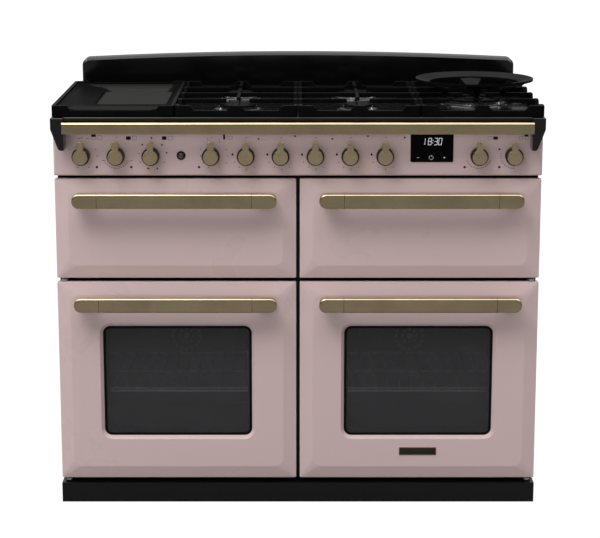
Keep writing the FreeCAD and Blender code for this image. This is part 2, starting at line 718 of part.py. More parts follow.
def door_pan(x0, x1, z0, z1):
    """Drafted pressing that closes the back of a door, with a lip behind the skin's edge."""
    def form(inset, y_front, y_back):
        wires = []
        for y, draft in ((y_front, 0), (y_back, PAN_DRAFT)):
            i = inset + draft
            wires.append(upright_wire(x0 + i, x1 - i, z0 + i, z1 - i, PAN_CORNER_R, y))
        return Part.makeLoft(wires, True, True)
    lip = upright_plate(x0 + PAN_LIP_INSET, x1 - PAN_LIP_INSET, z0 + PAN_LIP_INSET, z1 - PAN_LIP_INSET,
                        DOOR_CORNER_R, SKIN_DEPTH, SKIN_DEPTH + SHEET)
    outer = joined([form(PAN_INSET, SKIN_DEPTH, DOOR_DEPTH), lip])
    return outer.cut(form(PAN_INSET + SHEET, SKIN_DEPTH - OVERRUN, DOOR_DEPTH - SHEET))


def drop_notches():
    """Slots that let an upper door swing round its hinge arms."""
    half = DROP_ARM_THICKNESS / 2.0 + DROP_ARM_GAP
    y0 = DROP_PIN_Y - DROP_ARM_HALF_HEIGHT - DROP_ARM_GAP
    z1 = drop_pin_z() + DROP_ARM_HALF_HEIGHT + DROP_ARM_GAP
    return [block(x - half, x + half, y0, DOOR_DEPTH + OVERRUN, UPPER_Z0 - OVERRUN, z1)
            for x in drop_hinge_places()]


def drop_pan(x0, x1):
    """Back pressing of an upper door, with ears that turn on the hinge pins."""
    z = drop_pin_z()
    z0 = UPPER_Z0 + DROP_EAR_LIFT
    half = DROP_ARM_THICKNESS / 2.0 + DROP_ARM_GAP
    pieces = [door_pan(x0, x1, UPPER_Z0, UPPER_Z1)]
    bores = []
    for x in drop_hinge_places():
        for near in (x - half - DROP_EAR_WIDTH, x + half):
            pieces.append(block(near, near + DROP_EAR_WIDTH, EAR_FRONT, EAR_BACK, z0, z0 + DROP_EAR_HEIGHT))
        reach = half + DROP_EAR_WIDTH + OVERRUN
        bores.append(rod(Vector(x - reach, DROP_PIN_Y, z), Vector(x + reach, DROP_PIN_Y, z),
                         DROP_PIN_R + RUNNING_GAP))
    return joined(pieces).cut(drop_notches() + bores)


def side_pin_hole(z0, z1, radius):
    x = HALF - SIDE_PIN_INSET
    return rod(Vector(x, SIDE_PIN_Y, z0), Vector(x, SIDE_PIN_Y, z1), radius)


def side_pan(x0, x1):
    """Back pressing of a lower door, with hinge bosses in its outer corners and a window."""
    i = SIDE_BOSS_INSET
    bosses = []
    for z0 in (LOWER_Z0 + i, LOWER_Z1 - i - SIDE_BOSS_HEIGHT):
        bosses.append(block(x1 - i - SIDE_BOSS_WIDTH, x1 - i, EAR_FRONT, EAR_BACK,
                            z0, z0 + SIDE_BOSS_HEIGHT))
    pan = joined([door_pan(x0, x1, LOWER_Z0, LOWER_Z1)] + bosses)
    wire = window_wire(x0, x1, LOWER_Z0, LOWER_Z1, INNER_WINDOW_INSET, DOOR_DEPTH - SHEET - OVERRUN)
    window = Part.Face(wire).extrude(Vector(0, SHEET + OVERRUN + OVERRUN, 0))
    bore_r = SIDE_PIN_R + RUNNING_GAP
    low = side_pin_hole(LOWER_Z0, LOWER_Z0 + i + SIDE_BOSS_HEIGHT + OVERRUN, bore_r)
    high = side_pin_hole(LOWER_Z1 - i - SIDE_BOSS_HEIGHT - OVERRUN, LOWER_Z1, bore_r)
    return pan.cut([window, low, high])


def handle_section(x0, x1, z0, z1, y_front, depth, edge_r, chamfer):
    """Bar along x with a round upper front edge and a small lower chamfer."""
    slant = edge_r * (1.0 - math.sqrt(0.5))
    y_back = y_front + depth
    arc = Part.Arc(Vector(x0, y_front, z1 - edge_r), Vector(x0, y_front + slant, z1 - slant),
                   Vector(x0, y_front + edge_r, z1)).toShape()
    corners = [(y_front + edge_r, z1), (y_back, z1), (y_back, z0), (y_front + chamfer, z0),
               (y_front, z0 + chamfer), (y_front, z1 - edge_r)]
    lines = Part.makePolygon([Vector(x0, y, z) for y, z in corners])
    face = Part.Face(Part.Wire([arc] + lines.Edges))
    return face.extrude(Vector(x1 - x0, 0, 0))


def door_handle(x0, x1, door_top):
    """Grip bar and its two end castings, each with a post to the door."""
    h0 = x0 + HANDLE_MARGIN
    h1 = x1 - HANDLE_MARGIN
    z0 = door_top - HANDLE_DROP
    z1 = z0 + HANDLE_HEIGHT
    bar = handle_section(h0, h1, z0, z1, -HANDLE_REACH, HANDLE_DEPTH, HANDLE_EDGE_R, HANDLE_CHAMFER)
    ends = upright_plate(h0, h1, z0, z1, HANDLE_END_R, -HANDLE_REACH, HANDLE_DEPTH - HANDLE_REACH)
    blank = bar.common(ends)
    pieces = []
    cuts = (h0, h0 + HANDLE_END_LENGTH, h1 - HANDLE_END_LENGTH, h1)
    for a, b in zip(cuts, cuts[1:]):
        slab = block(a, b, -HANDLE_REACH, 0, z0, z1)
        pieces.append(blank.common(slab))
    for number, start in ((0, h0 + POST_INSET), (2, h1 - POST_INSET - POST_LENGTH)):
        post = upright_plate(start, start + POST_LENGTH, z0 + POST_DROP, z1 - POST_DROP,
                             POST_CORNER_R, HANDLE_DEPTH - HANDLE_REACH, 0)
        pieces[number] = joined([pieces[number], post])
    return pieces


def upper_door():
    """Skin, back pressing and handle of the right-hand upper door."""
    skin = door_skin(DOOR_X0, HALF, UPPER_Z0, UPPER_Z1).cut(drop_notches())
    return [skin], [drop_pan(DOOR_X0, HALF)], door_handle(DOOR_X0, HALF, UPPER_Z1)


def lower_door():
    """Skin, glass, back pressing and handle of the right-hand lower door."""
    holes = [side_pin_hole(LOWER_Z0 - OVERRUN, LOWER_Z0 + SHEET + OVERRUN, SKIN_PIN_HOLE_R),
             side_pin_hole(LOWER_Z1 - SHEET - OVERRUN, LOWER_Z1 + OVERRUN, SKIN_PIN_HOLE_R)]
    skin = windowed_skin(DOOR_X0, HALF, LOWER_Z0, LOWER_Z1).cut(holes)
    glass = window_glass(DOOR_X0, HALF, LOWER_Z0, LOWER_Z1)
    return [skin], glass, [side_pan(DOOR_X0, HALF)], door_handle(DOOR_X0, HALF, LOWER_Z1)


def control_panel():
    """Fascia: a shallow tray with its open back on the front frame."""
    def form(inset, y_front, y_back):
        wires = []
        for i, y in ((inset, y_back), (inset, y_front + FASCIA_EDGE), (inset + FASCIA_EDGE, y_front)):
            wires.append(upright_wire(i - HALF, HALF - i, FASCIA_Z0 + i, FASCIA_Z1 - i, FASCIA_CORNER_R, y))
        return Part.makeLoft(wires, True, True)
    tray = form(0, 0, FRAME_Y).cut(form(SHEET, SHEET, FRAME_Y + OVERRUN))
    holes = [front_hole(x, KNOB_Z, SPINDLE_HOLE_R, 0, SHEET) for x in knob_places()]
    holes.append(front_hole(lamp_x(), KNOB_Z, LAMP_HOLE_R, 0, SHEET))
    return [tray.cut(holes)]


def display_glass():
    x0 = display_x()
    z0 = FASCIA_Z0 + DISPLAY_LIFT
    return [upright_plate(x0, x0 + DISPLAY_WIDTH, z0, z0 + DISPLAY_HEIGHT, DISPLAY_CORNER_R,
                          -DISPLAY_THICKNESS, 0)]


def knob(x):
    """Skirt, neck and flat face with a round-ended pointer, on a spindle."""
    def disc(radius, y0, y1):
        return rod(Vector(x, y0, KNOB_Z), Vector(x, y1, KNOB_Z), radius)
    face_back = KNOB_FACE_DEPTH - KNOB_REACH
    skirt_front = -LOOSE_GAP - KNOB_SKIRT_DEPTH
    half = POINTER_WIDTH / 2.0
    tip_z = KNOB_Z + POINTER_REACH - half
    pointer = block(x - half, x + half, -KNOB_REACH, face_back, KNOB_Z, tip_z)
    tip = rod(Vector(x, -KNOB_REACH, tip_z), Vector(x, face_back, tip_z), half)
    pieces = [disc(KNOB_FACE_R, -KNOB_REACH, face_back), pointer, tip,
              disc(KNOB_NECK_R, face_back, skirt_front),
              disc(KNOB_SKIRT_R, skirt_front, -LOOSE_GAP),
              disc(SPINDLE_R, skirt_front, SPINDLE_LENGTH)]
    return [joined(pieces)]


def lamp_button():
    """Domed cap on a stem that slides in the switch body."""
    x = lamp_x()
    cap = rod(Vector(x, -LAMP_CAP_FRONT, KNOB_Z), Vector(x, LAMP_CAP_BACK, KNOB_Z), LAMP_CAP_R)
    front_edges = [edge for edge in cap.Edges if abs(edge.BoundBox.YMax + LAMP_CAP_FRONT) < LOOSE_GAP]
    cap = cap.makeFillet(LAMP_CAP_FRONT / 2.0, front_edges)
    stem = rod(Vector(x, 0, KNOB_Z), Vector(x, LAMP_STEM_LENGTH, KNOB_Z), SPINDLE_R)
    return [joined([cap, stem])]


def control_valves():
    """Taps, thermostats and lamp switch behind the frame, and the gas manifold with its inlet."""
    solids = []
    for x in knob_places() + [lamp_x()]:
        body = block(x - VALVE_HALF, x + VALVE_HALF, FRAME_BACK, VALVE_BACK,
                     KNOB_Z - VALVE_HALF, KNOB_Z + VALVE_HALF)
        bore = rod(Vector(x, FRAME_BACK - OVERRUN, KNOB_Z),
                   Vector(x, FRAME_BACK + VALVE_BORE_DEPTH, KNOB_Z), SPINDLE_R + RUNNING_GAP)
        solids.append(body.cut(bore))
    half = MANIFOLD_SIZE / 2.0
    rail = block(MANIFOLD_INSET - HALF, HALF - MANIFOLD_INSET, VALVE_BACK, VALVE_BACK + MANIFOLD_SIZE,
                 KNOB_Z - half, KNOB_Z + half)
    x = inlet_x()
    pipe = rod(Vector(x, VALVE_BACK + half, KNOB_Z), Vector(x, BODY_DEPTH - INLET_BORE_LENGTH, KNOB_Z),
               INLET_BORE_R)
    socket = rod(Vector(x, BODY_DEPTH - INLET_SOCKET_LENGTH, KNOB_Z), Vector(x, BODY_DEPTH, KNOB_Z),
                 INLET_SOCKET_R)
    bore = rod(Vector(x, BODY_DEPTH - INLET_BORE_LENGTH, KNOB_Z), Vector(x, BODY_DEPTH + OVERRUN, KNOB_Z),
               INLET_BORE_R)
    solids.append(joined([rail, pipe, socket]).cut(bore))
    return solids


def towel_rail():
    x1 = HALF - RAIL_END_INSET
    z1 = HOB_HEIGHT - RAIL_DROP
    return [handle_section(-x1, x1, z1 - RAIL_HEIGHT, z1, -RAIL_REACH, RAIL_THICKNESS,
                           RAIL_EDGE_R, HANDLE_CHAMFER)]


def rail_brackets():
    """Tapered end brackets between the hob's corners, the rail's ends and the fascia."""
    inner = HALF - BRACKET_INNER_INSET
    foot = HALF - BRACKET_FOOT_INSET
    low = HOB_HEIGHT - BRACKET_DROP
    back = RAIL_THICKNESS - RAIL_REACH
    outline = [(inner, FASCIA_Z1), (inner, low), (foot - BRACKET_FOOT_R, low), (foot, low + BRACKET_FOOT_R),
               (HALF, HOB_HEIGHT - BRACKET_TAPER_START), (HALF, FASCIA_Z1)]
    arm = prism_along_y(outline, back, 0)
    corner = block(inner, HALF, back, -HOB_OVERHANG, FASCIA_Z1, HOB_HEIGHT)
    bracket = joined([arm, corner])
    return [bracket, mirrored(bracket)]


def support_centres():
    return [(number - (SUPPORTS - 1) / 2.0) * SUPPORT_PITCH for number in range(SUPPORTS)]


def row_places():
    """Depths of the front and rear burner rows."""
    return [SUPPORT_MID - ROW_SPACING, SUPPORT_MID + ROW_SPACING]


def round_burners():
    """Centre and crown radius of each round burner."""
    centres = support_centres()
    front, rear = row_places()
    return [(centres[1], front, LARGE_BURNER_R), (centres[1], rear, SMALL_BURNER_R),
            (centres[2], front, SMALL_BURNER_R), (centres[2], rear, LARGE_BURNER_R),
            (centres[3], SUPPORT_MID, WOK_BURNER_R)]


def griddle_burner_plate(grow, z0, z1):
    x = support_centres()[0]
    half = GRIDDLE_BURNER_HALF + grow
    length = GRIDDLE_BURNER_LENGTH / 2.0 + grow
    return level_plate(x - half, x + half, SUPPORT_MID - length, SUPPORT_MID + length,
                       half - OVERRUN, z0, z1)


def hob_top():
    """Hob tray: a flat plate with its edges turned down."""
    y0 = -HOB_OVERHANG
    outer = level_plate(-HALF, HALF, y0, BODY_DEPTH, HOB_CORNER_R, FASCIA_Z1, HOB_HEIGHT)
    under = level_plate(PLATE - HALF, HALF - PLATE, y0 + PLATE, BODY_DEPTH + HOB_CORNER_R + OVERRUN,
                        HOB_CORNER_R - PLATE, FASCIA_Z1 - OVERRUN, CARCASS_TOP)
    places = [(x, y) for x, y, radius in round_burners()] + [(support_centres()[0], SUPPORT_MID)]
    holes = [rod(Vector(x, y, FASCIA_Z1), Vector(x, y, HOB_HEIGHT + OVERRUN), BURNER_HOLE_R)
             for x, y in places]
    return [outer.cut([under] + holes)]


def burner_stem(x, y):
    return rod(Vector(x, y, HOB_HEIGHT - BURNER_STEM_LENGTH), Vector(x, y, HOB_HEIGHT + OVERRUN),
               BURNER_STEM_R)


def burner_heads():
    """Flange, crown and stem of each burner."""
    heads = []
    crown_z = HOB_HEIGHT + BURNER_FLANGE_HEIGHT
    for x, y, radius in round_burners():
        flange = Part.makeCylinder(radius + BURNER_FLANGE, BURNER_FLANGE_HEIGHT, Vector(x, y, HOB_HEIGHT))
        crown = Part.makeCylinder(radius, CROWN_HEIGHT + OVERRUN, Vector(x, y, crown_z - OVERRUN))
        head = joined([flange, crown, burner_stem(x, y)])
        if radius == WOK_BURNER_R:
            groove = Part.makeCylinder(WOK_GROOVE_R, CROWN_HEIGHT + OVERRUN, Vector(x, y, crown_z))
            core = Part.makeCylinder(WOK_INNER_R, CROWN_HEIGHT + OVERRUN, Vector(x, y, crown_z))
            head = head.cut(groove.cut(core))
        heads.append(head)
    long_head = griddle_burner_plate(0, HOB_HEIGHT, HOB_HEIGHT + GRIDDLE_HEAD_HEIGHT)
    heads.append(joined([long_head, burner_stem(support_centres()[0], SUPPORT_MID)]))
    return heads


def burner_cap(x, y, radius, hole_r):
    z = HOB_HEIGHT + BURNER_FLANGE_HEIGHT + CROWN_HEIGHT
    straight = CAP_HEIGHT - CAP_CHAMFER
    disc = Part.makeCylinder(radius, straight, Vector(x, y, z))
    top = Part.makeCone(radius, radius - CAP_CHAMFER, CAP_CHAMFER, Vector(x, y, z + straight))
    cap = joined([disc, top])
    if hole_r > 0:
        cap = cap.cut(Part.makeCylinder(hole_r, CAP_HEIGHT + OVERRUN, Vector(x, y, z - OVERRUN / 2.0)))
    return cap


def burner_caps():
    caps = []
    for x, y, radius in round_burners():
        if radius == WOK_BURNER_R:
            caps.append(burner_cap(x, y, radius - CAP_INSET, WOK_GROOVE_R + CAP_INSET))
            caps.append(burner_cap(x, y, WOK_INNER_R - CAP_INSET, 0))
        else:
            caps.append(burner_cap(x, y, radius - CAP_INSET, 0))
    z = HOB_HEIGHT + GRIDDLE_HEAD_HEIGHT
    caps.append(griddle_burner_plate(-CAP_INSET, z, z + GRIDDLE_CAP_HEIGHT))
    return caps


def support_sides(x):
    """Left and right outer edges of the pan support centred on x."""
    half = SUPPORT_PITCH / 2.0 - SUPPORT_GAP
    return x - half, x + half


def support_ring(x):
    """Rectangular ring of a pan support at its full height."""
    x0, x1 = support_sides(x)
    bar = SUPPORT_BAR
    outer = level_plate(x0, x1, SUPPORT_FRONT, SUPPORT_BACK, SUPPORT_CORNER_R, SUPPORT_BASE, SUPPORT_TOP)
    inner = level_plate(x0 + bar, x1 - bar, SUPPORT_FRONT + bar, SUPPORT_BACK - bar, SUPPORT_CORNER_R / 2.0,
                        SUPPORT_BASE - OVERRUN, SUPPORT_TOP + OVERRUN)
    return outer.cut(inner)


def bar_notches(x, stops):
    """Low stretches of the front and rear bars, between raised lugs."""
    notches = []
    top = SUPPORT_TOP + OVERRUN
    for a, b in stops:
        outline = [(a, top), (b, top), (b - LUG_SLOPE, BAR_TOP), (a + LUG_SLOPE, BAR_TOP)]
        for y0 in (SUPPORT_FRONT, SUPPORT_BACK - SUPPORT_BAR):
            notches.append(prism_along_y(outline, y0 - OVERRUN, y0 + SUPPORT_BAR))
    return notches


def side_notches(x):
    """Low stretches of the side bars, between raised lugs."""
    x0, x1 = support_sides(x)
    front, rear = row_places()
    edges = [SUPPORT_FRONT + LUG_LENGTH]
    for y in (front, SUPPORT_MID, rear):
        edges.extend([y - ROOT_LUG_HALF, y + ROOT_LUG_HALF])
    edges.append(SUPPORT_BACK - LUG_LENGTH)
    notches = []
    top = SUPPORT_TOP + OVERRUN
    for a, b in zip(edges[0::2], edges[1::2]):
        outline = [(a, top), (b, top), (b - LUG_SLOPE, BAR_TOP), (a + LUG_SLOPE, BAR_TOP)]
        for start in (x0 - OVERRUN, x1 - SUPPORT_BAR):
            notches.append(prism_along_x(outline, start, start + SUPPORT_BAR + OVERRUN))
    return notches


def finger_x(xa, xb, y):
    half = FINGER_WIDTH / 2.0
    return block(xa, xb, y - half, y + half, SUPPORT_TOP - FINGER_HEIGHT, SUPPORT_TOP)


def finger_y(x, ya, yb):
    half = FINGER_WIDTH / 2.0
    return block(x - half, x + half, ya, yb, SUPPORT_TOP - FINGER_HEIGHT, SUPPORT_TOP)


def open_ring(x):
    """Ring with lugs at its corners and at the roots of its fingers."""
    x0, x1 = support_sides(x)
    stops = [(x0 + LUG_LENGTH, x - ROOT_LUG_HALF), (x + ROOT_LUG_HALF, x1 - LUG_LENGTH)]
    return support_ring(x).cut(bar_notches(x, stops) + side_notches(x))


def pan_support(x):
    """Support over a front and a rear burner."""
    x0, x1 = support_sides(x)
    front, rear = row_places()
    inside = SUPPORT_BAR / 2.0
    pieces = [open_ring(x), finger_x(x0 + inside, x1 - inside, SUPPORT_MID)]
    for y in (front, rear):
        pieces.append(finger_x(x0 + inside, x - FINGER_GAP, y))
        pieces.append(finger_x(x + FINGER_GAP, x1 - inside, y))
    pieces.append(finger_y(x, SUPPORT_FRONT + inside, front - FINGER_GAP))
    pieces.append(finger_y(x, front + FINGER_GAP, rear - FINGER_GAP))
    pieces.append(finger_y(x, rear + FINGER_GAP, SUPPORT_BACK - inside))
    return [joined(pieces)]


def wok_support(x):
    """Support over the wok burner."""
    x0, x1 = support_sides(x)
    inside = SUPPORT_BAR / 2.0
    pieces = [open_ring(x),
              finger_x(x0 + inside, x - FINGER_GAP, SUPPORT_MID),
              finger_x(x + FINGER_GAP, x1 - inside, SUPPORT_MID),
              finger_y(x, SUPPORT_FRONT + inside, SUPPORT_MID - FINGER_GAP),
              finger_y(x, SUPPORT_MID + FINGER_GAP, SUPPORT_BACK - inside)]
    for y in row_places():
        pieces.append(finger_x(x0 + inside, x0 + SUPPORT_BAR + SHORT_FINGER, y))
        pieces.append(finger_x(x1 - SUPPORT_BAR - SHORT_FINGER, x1 - inside, y))
    return [joined(pieces)]


def griddle_support(x):
    """Frame with tall sides that holds the griddle plate."""
    x0, x1 = support_sides(x)
    stops = [(x0 + LUG_LENGTH, x1 - LUG_LENGTH)]
    return [support_ring(x).cut(bar_notches(x, stops))]


def griddle_plate(x):
    """Cast plate with a flat floor and sloping walls, held by lips on the low bars."""
    x0, x1 = support_sides(x)
    inset = SUPPORT_BAR + GRIDDLE_SIDE_GAP
    rx0 = x0 + inset
    rx1 = x1 - inset
    ry0 = SUPPORT_FRONT + inset
    ry1 = SUPPORT_BACK - inset
    z_floor = HOB_HEIGHT + GRIDDLE_FLOOR_LIFT
    z_rim = HOB_HEIGHT + GRIDDLE_RIM_LIFT

    def form(grow, z_low, z_high):
        low = level_wire(rx0 + GRIDDLE_FLOOR_LEFT - grow, rx1 - GRIDDLE_FLOOR_RIGHT + grow,
                         ry0 + GRIDDLE_FLOOR_FRONT - grow, ry1 - GRIDDLE_FLOOR_BACK + grow,
                         GRIDDLE_FLOOR_R + grow, z_low)
        high = level_wire(rx0 + GRIDDLE_THICKNESS - grow, rx1 - GRIDDLE_THICKNESS + grow,
                          ry0 + GRIDDLE_THICKNESS - grow, ry1 - GRIDDLE_THICKNESS + grow,
                          GRIDDLE_RIM_R + grow, z_high)
        return Part.makeLoft([low, high], True, True)

    shell = form(GRIDDLE_THICKNESS, z_floor, z_rim).cut(form(0, z_floor + GRIDDLE_THICKNESS, z_rim + OVERRUN))
    lips = []
    lip_x0 = x0 + GRIDDLE_LIP_MARGIN
    lip_x1 = x1 - GRIDDLE_LIP_MARGIN
    lip_z0 = BAR_TOP + LOOSE_GAP
    for y0 in (SUPPORT_FRONT + LOOSE_GAP, SUPPORT_BACK - LOOSE_GAP - GRIDDLE_LIP_DEPTH):
        lips.append(block(lip_x0, lip_x1, y0, y0 + GRIDDLE_LIP_DEPTH, lip_z0, z_rim))
    keep = form(0, z_floor + GRIDDLE_THICKNESS, z_rim + OVERRUN)
    return [joined([shell] + [lip.cut(keep) for lip in lips])]


def wok_ring(x):
    """Dished ring on four arms that slope down to feet on the fingers."""
    y = SUPPORT_MID
    top = HOB_HEIGHT + WOK_RING_TOP
    inner_r = WOK_OUTER_R - WOK_RING_WIDTH
    thick = WOK_RING_THICKNESS
    section = [(inner_r, top - WOK_RING_SLOPE - thick), (WOK_OUTER_R, top - thick),
               (WOK_OUTER_R, top), (inner_r, top - WOK_RING_SLOPE)]
    wire = Part.makePolygon([Vector(x + r, y, z) for r, z in section + section[:1]])
    ring = Part.Face(wire).revolve(Vector(x, y, 0), Vector(0, 0, 1), 360)
    foot_z = SUPPORT_TOP + LOOSE_GAP
    arm_outer_r = inner_r + WOK_ARM_LAP
    outer_z = top - WOK_RING_SLOPE - thick + LOOSE_GAP
    inner_z = foot_z + WOK_ARM_INNER_LIFT

    def arm_end(r, width, z):
        half = width / 2.0
        points = [Vector(x + r, y - half, z - LOOSE_GAP), Vector(x + r, y + half, z - LOOSE_GAP),
                  Vector(x + r, y + half, z + thick), Vector(x + r, y - half, z + thick)]
        return Part.makePolygon(points + points[:1])

    arm = Part.makeLoft([arm_end(arm_outer_r, WOK_ARM_OUTER_WIDTH, outer_z),
                         arm_end(WOK_ARM_INNER_R, WOK_ARM_INNER_WIDTH, inner_z)], True, True)
    half = WOK_FOOT_WIDTH / 2.0
    foot = block(x + WOK_ARM_INNER_R, x + WOK_ARM_INNER_R + WOK_FOOT_LENGTH, y - half, y + half,
                 foot_z, inner_z + thick / 2.0)
    pieces = [ring]
    for quarter in range(4):
        for piece in (arm, foot):
            turned = piece.copy()
            turned.rotate(Vector(x, y, 0), Vector(0, 0, 1), quarter * 90)
            pieces.append(turned)
    return [joined(pieces)]


def rear_upstand():
    """Hollow upstand with an arched top and round upper corners."""
    x1 = HALF - UPSTAND_SIDE_INSET
    z0 = HOB_HEIGHT
    crest = z0 + UPSTAND_HEIGHT
    shoulder = crest - UPSTAND_ARCH
    r = UPSTAND_CORNER_R

    def wire(inset, y, bottom):
        edge = x1 - inset
        radius = r - inset / 2.0
        slant = radius * (1.0 - math.sqrt(0.5))
        side_top = shoulder - inset - radius
        arch_x = edge - radius
        arch_z = shoulder - inset
        points = {
            "left_low": Vector(-edge, y, bottom), "left_high": Vector(-edge, y, side_top),
            "left_round": Vector(slant - edge, y, arch_z - slant),
            "left_arch": Vector(-arch_x, y, arch_z),
            "crest": Vector(0, y, crest - inset),
            "right_arch": Vector(arch_x, y, arch_z),
            "right_round": Vector(edge - slant, y, arch_z - slant),
            "right_high": Vector(edge, y, side_top), "right_low": Vector(edge, y, bottom),
        }
        edges = [
            Part.makeLine(points["left_low"], points["left_high"]),
            Part.Arc(points["left_high"], points["left_round"], points["left_arch"]).toShape(),
            Part.Arc(points["left_arch"], points["crest"], points["right_arch"]).toShape(),
            Part.Arc(points["right_arch"], points["right_round"], points["right_high"]).toShape(),
            Part.makeLine(points["right_high"], points["right_low"]),
            Part.makeLine(points["right_low"], points["left_low"]),
        ]
        return Part.Wire(edges)

    y0 = BODY_DEPTH - UPSTAND_DEPTH
    front = Part.makeLoft([wire(UPSTAND_CHAMFER, y0, z0), wire(0, y0 + UPSTAND_CHAMFER, z0)], True, True)
    body = Part.Face(wire(0, y0 + UPSTAND_CHAMFER, z0)).extrude(Vector(0, UPSTAND_DEPTH - UPSTAND_CHAMFER, 0))
    hollow_y = y0 + UPSTAND_CHAMFER
    hollow = Part.Face(wire(UPSTAND_CHAMFER + SHEET, hollow_y, z0 - OVERRUN)).extrude(
        Vector(0, UPSTAND_DEPTH - UPSTAND_CHAMFER - SHEET, 0))
    return [joined([front, body]).cut(hollow)]


def fan_cover():
    """Cover over the fan of the right-hand lower oven, with a cluster of intake holes."""
    x = CAVITY_MID_X
    half = FAN_COVER_HALF
    y0 = CAVITY_BACK - FAN_COVER_DEPTH
    outer = upright_plate(x - half, x + half, FAN_Z - half, FAN_Z + half, FAN_COVER_R, y0, CAVITY_BACK)
    half = FAN_COVER_HALF - SHEET
    hollow = upright_plate(x - half, x + half, FAN_Z - half, FAN_Z + half, FAN_COVER_R - SHEET,
                           y0 + SHEET, CAVITY_BACK + OVERRUN)
    holes = [front_hole(x, FAN_Z, COVER_HOLE_R, y0, y0 + SHEET)]
    for ring in range(COVER_RINGS):
        count = COVER_HOLES * (ring + 1)
        radius = COVER_RING_R * (ring + 1) / COVER_RINGS
        for number in range(count):
            angle = 2.0 * math.pi * number / count
            holes.append(front_hole(x + radius * math.cos(angle), FAN_Z + radius * math.sin(angle),
                                    COVER_HOLE_R / 2.0, y0, y0 + SHEET))
    return outer.cut([hollow] + holes)


def fan():
    """Centrifugal fan on its motor shaft, for the right-hand lower oven."""
    x = CAVITY_MID_X
    plate = rod(Vector(x, FAN_BACK - SHEET, FAN_Z), Vector(x, FAN_BACK, FAN_Z), FAN_R)
    hub = rod(Vector(x, FAN_FRONT, FAN_Z), Vector(x, FAN_BACK, FAN_Z), FAN_HUB_R)
    shaft = rod(Vector(x, FAN_FRONT, FAN_Z), Vector(x, LINER_BACK + FAN_SHAFT_REACH, FAN_Z), FAN_SHAFT_R)
    pieces = [plate, hub, shaft]
    for number in range(FAN_BLADES):
        blade = block(x + FAN_HUB_R / 2.0, x + FAN_R, FAN_FRONT, FAN_BACK,
                      FAN_Z - SHEET / 2.0, FAN_Z + SHEET / 2.0)
        blade.rotate(Vector(x, 0, FAN_Z), Vector(0, 1, 0), number * 360.0 / FAN_BLADES)
        pieces.append(blade)
    return joined(pieces)


def fan_motor():
    x = CAVITY_MID_X
    body = rod(Vector(x, LINER_BACK, FAN_Z), Vector(x, LINER_BACK + MOTOR_LENGTH, FAN_Z), MOTOR_R)
    bore = rod(Vector(x, LINER_BACK - OVERRUN, FAN_Z), Vector(x, LINER_BACK + MOTOR_BORE_LENGTH, FAN_Z),
               FAN_SHAFT_R + RUNNING_GAP)
    return body.cut(bore)


def ring_element():
    """Ring element round the fan, with two leads into the back wall."""
    x = CAVITY_MID_X
    y = (FAN_FRONT + FAN_BACK) / 2.0
    ring = Part.makeTorus(ELEMENT_RING_R, ELEMENT_R, Vector(x, y, FAN_Z), Vector(0, 1, 0))
    pieces = [ring]
    for side in (-1, 1):
        lead_x = x + side * ELEMENT_LEAD_SPREAD
        lead_z = FAN_Z + math.sqrt(ELEMENT_RING_R ** 2 - ELEMENT_LEAD_SPREAD ** 2)
        pieces.append(rod(Vector(lead_x, y, lead_z), Vector(lead_x, CAVITY_BACK, lead_z), ELEMENT_LEAD_R))
    return joined(pieces)


def roof_element(z):
    """Serpentine under the roof of a right-hand oven, with both ends in the back wall."""
    x0 = CAVITY_CENTRE_X + ROOF_ELEMENT_MARGIN
    x1 = CAVITY_X1 - ROOF_ELEMENT_MARGIN
    step = (x1 - x0) / (ROOF_ELEMENT_LEGS - 1)
    turn_back = CAVITY_BACK - ROOF_ELEMENT_MARGIN
    points = [Vector(x0, CAVITY_BACK, z)]
    for leg in range(ROOF_ELEMENT_LEGS):
        x = x0 + leg * step
        ends = [turn_back, ROOF_ELEMENT_FRONT]
        if leg % 2:
            ends.reverse()
        if leg in (0, ROOF_ELEMENT_LEGS - 1):
            ends.remove(turn_back)
        points.extend([Vector(x, y, z) for y in ends])
    points.append(Vector(x1, CAVITY_BACK, z))
    return bent_rod(points, ELEMENT_R)


def heating_elements():
    ring = ring_element()
    oven_roof = mirrored(roof_element(LOWER_CAVITY_Z1 - ROOF_ELEMENT_DROP))
    grill = mirrored(roof_element(UPPER_CAVITY_Z1 - ROOF_ELEMENT_DROP))
    return [ring, mirrored(ring), oven_roof, grill]


def runner_z(number):
    return LOWER_CAVITY_Z0 + RACK_BOTTOM + number * RACK_PITCH


def side_rack():
    """Wire rack on the inner side wall of the right-hand lower oven."""
    x_post = CAVITY_CENTRE_X + RACK_WALL_GAP
    x_run = CAVITY_CENTRE_X + RACK_RUNNER_GAP
    low = runner_z(0) - RACK_PITCH / 2.0
    high = runner_z(RACK_RUNNERS - 1) + RACK_PITCH / 2.0
    pieces = []
    for y in (RACK_FRONT + RACK_PITCH, RACK_BACK - RACK_PITCH):
        pieces.append(rod(Vector(x_post, y, low), Vector(x_post, y, high), RACK_WIRE_R))
        for z in (runner_z(0) - RACK_PITCH / 4.0, runner_z(RACK_RUNNERS - 1) + RACK_PITCH / 4.0):
            pieces.append(rod(Vector(CAVITY_CENTRE_X, y, z), Vector(x_post, y, z), RACK_WIRE_R))
    for number in range(RACK_RUNNERS):
        z = runner_z(number)
        pieces.append(rod(Vector(x_run, RACK_FRONT, z), Vector(x_run, RACK_BACK, z), RACK_WIRE_R))
    return joined(pieces)


def on_both_sides(shapes):
    return shapes + [mirrored(shape) for shape in shapes]


def moved_left(shape):
    """The same shape in the left-hand oven, for a shape that is alike on both sides."""
    shape.translate(Vector(-CAVITY_CENTRE_X - CAVITY_X1, 0, 0))
    return shape


def shelf_racks():
    inner = side_rack()
    outer = mirrored(inner)
    outer.translate(Vector(CAVITY_CENTRE_X + CAVITY_X1, 0, 0))
    return [inner, outer, mirrored(inner), mirrored(outer)]


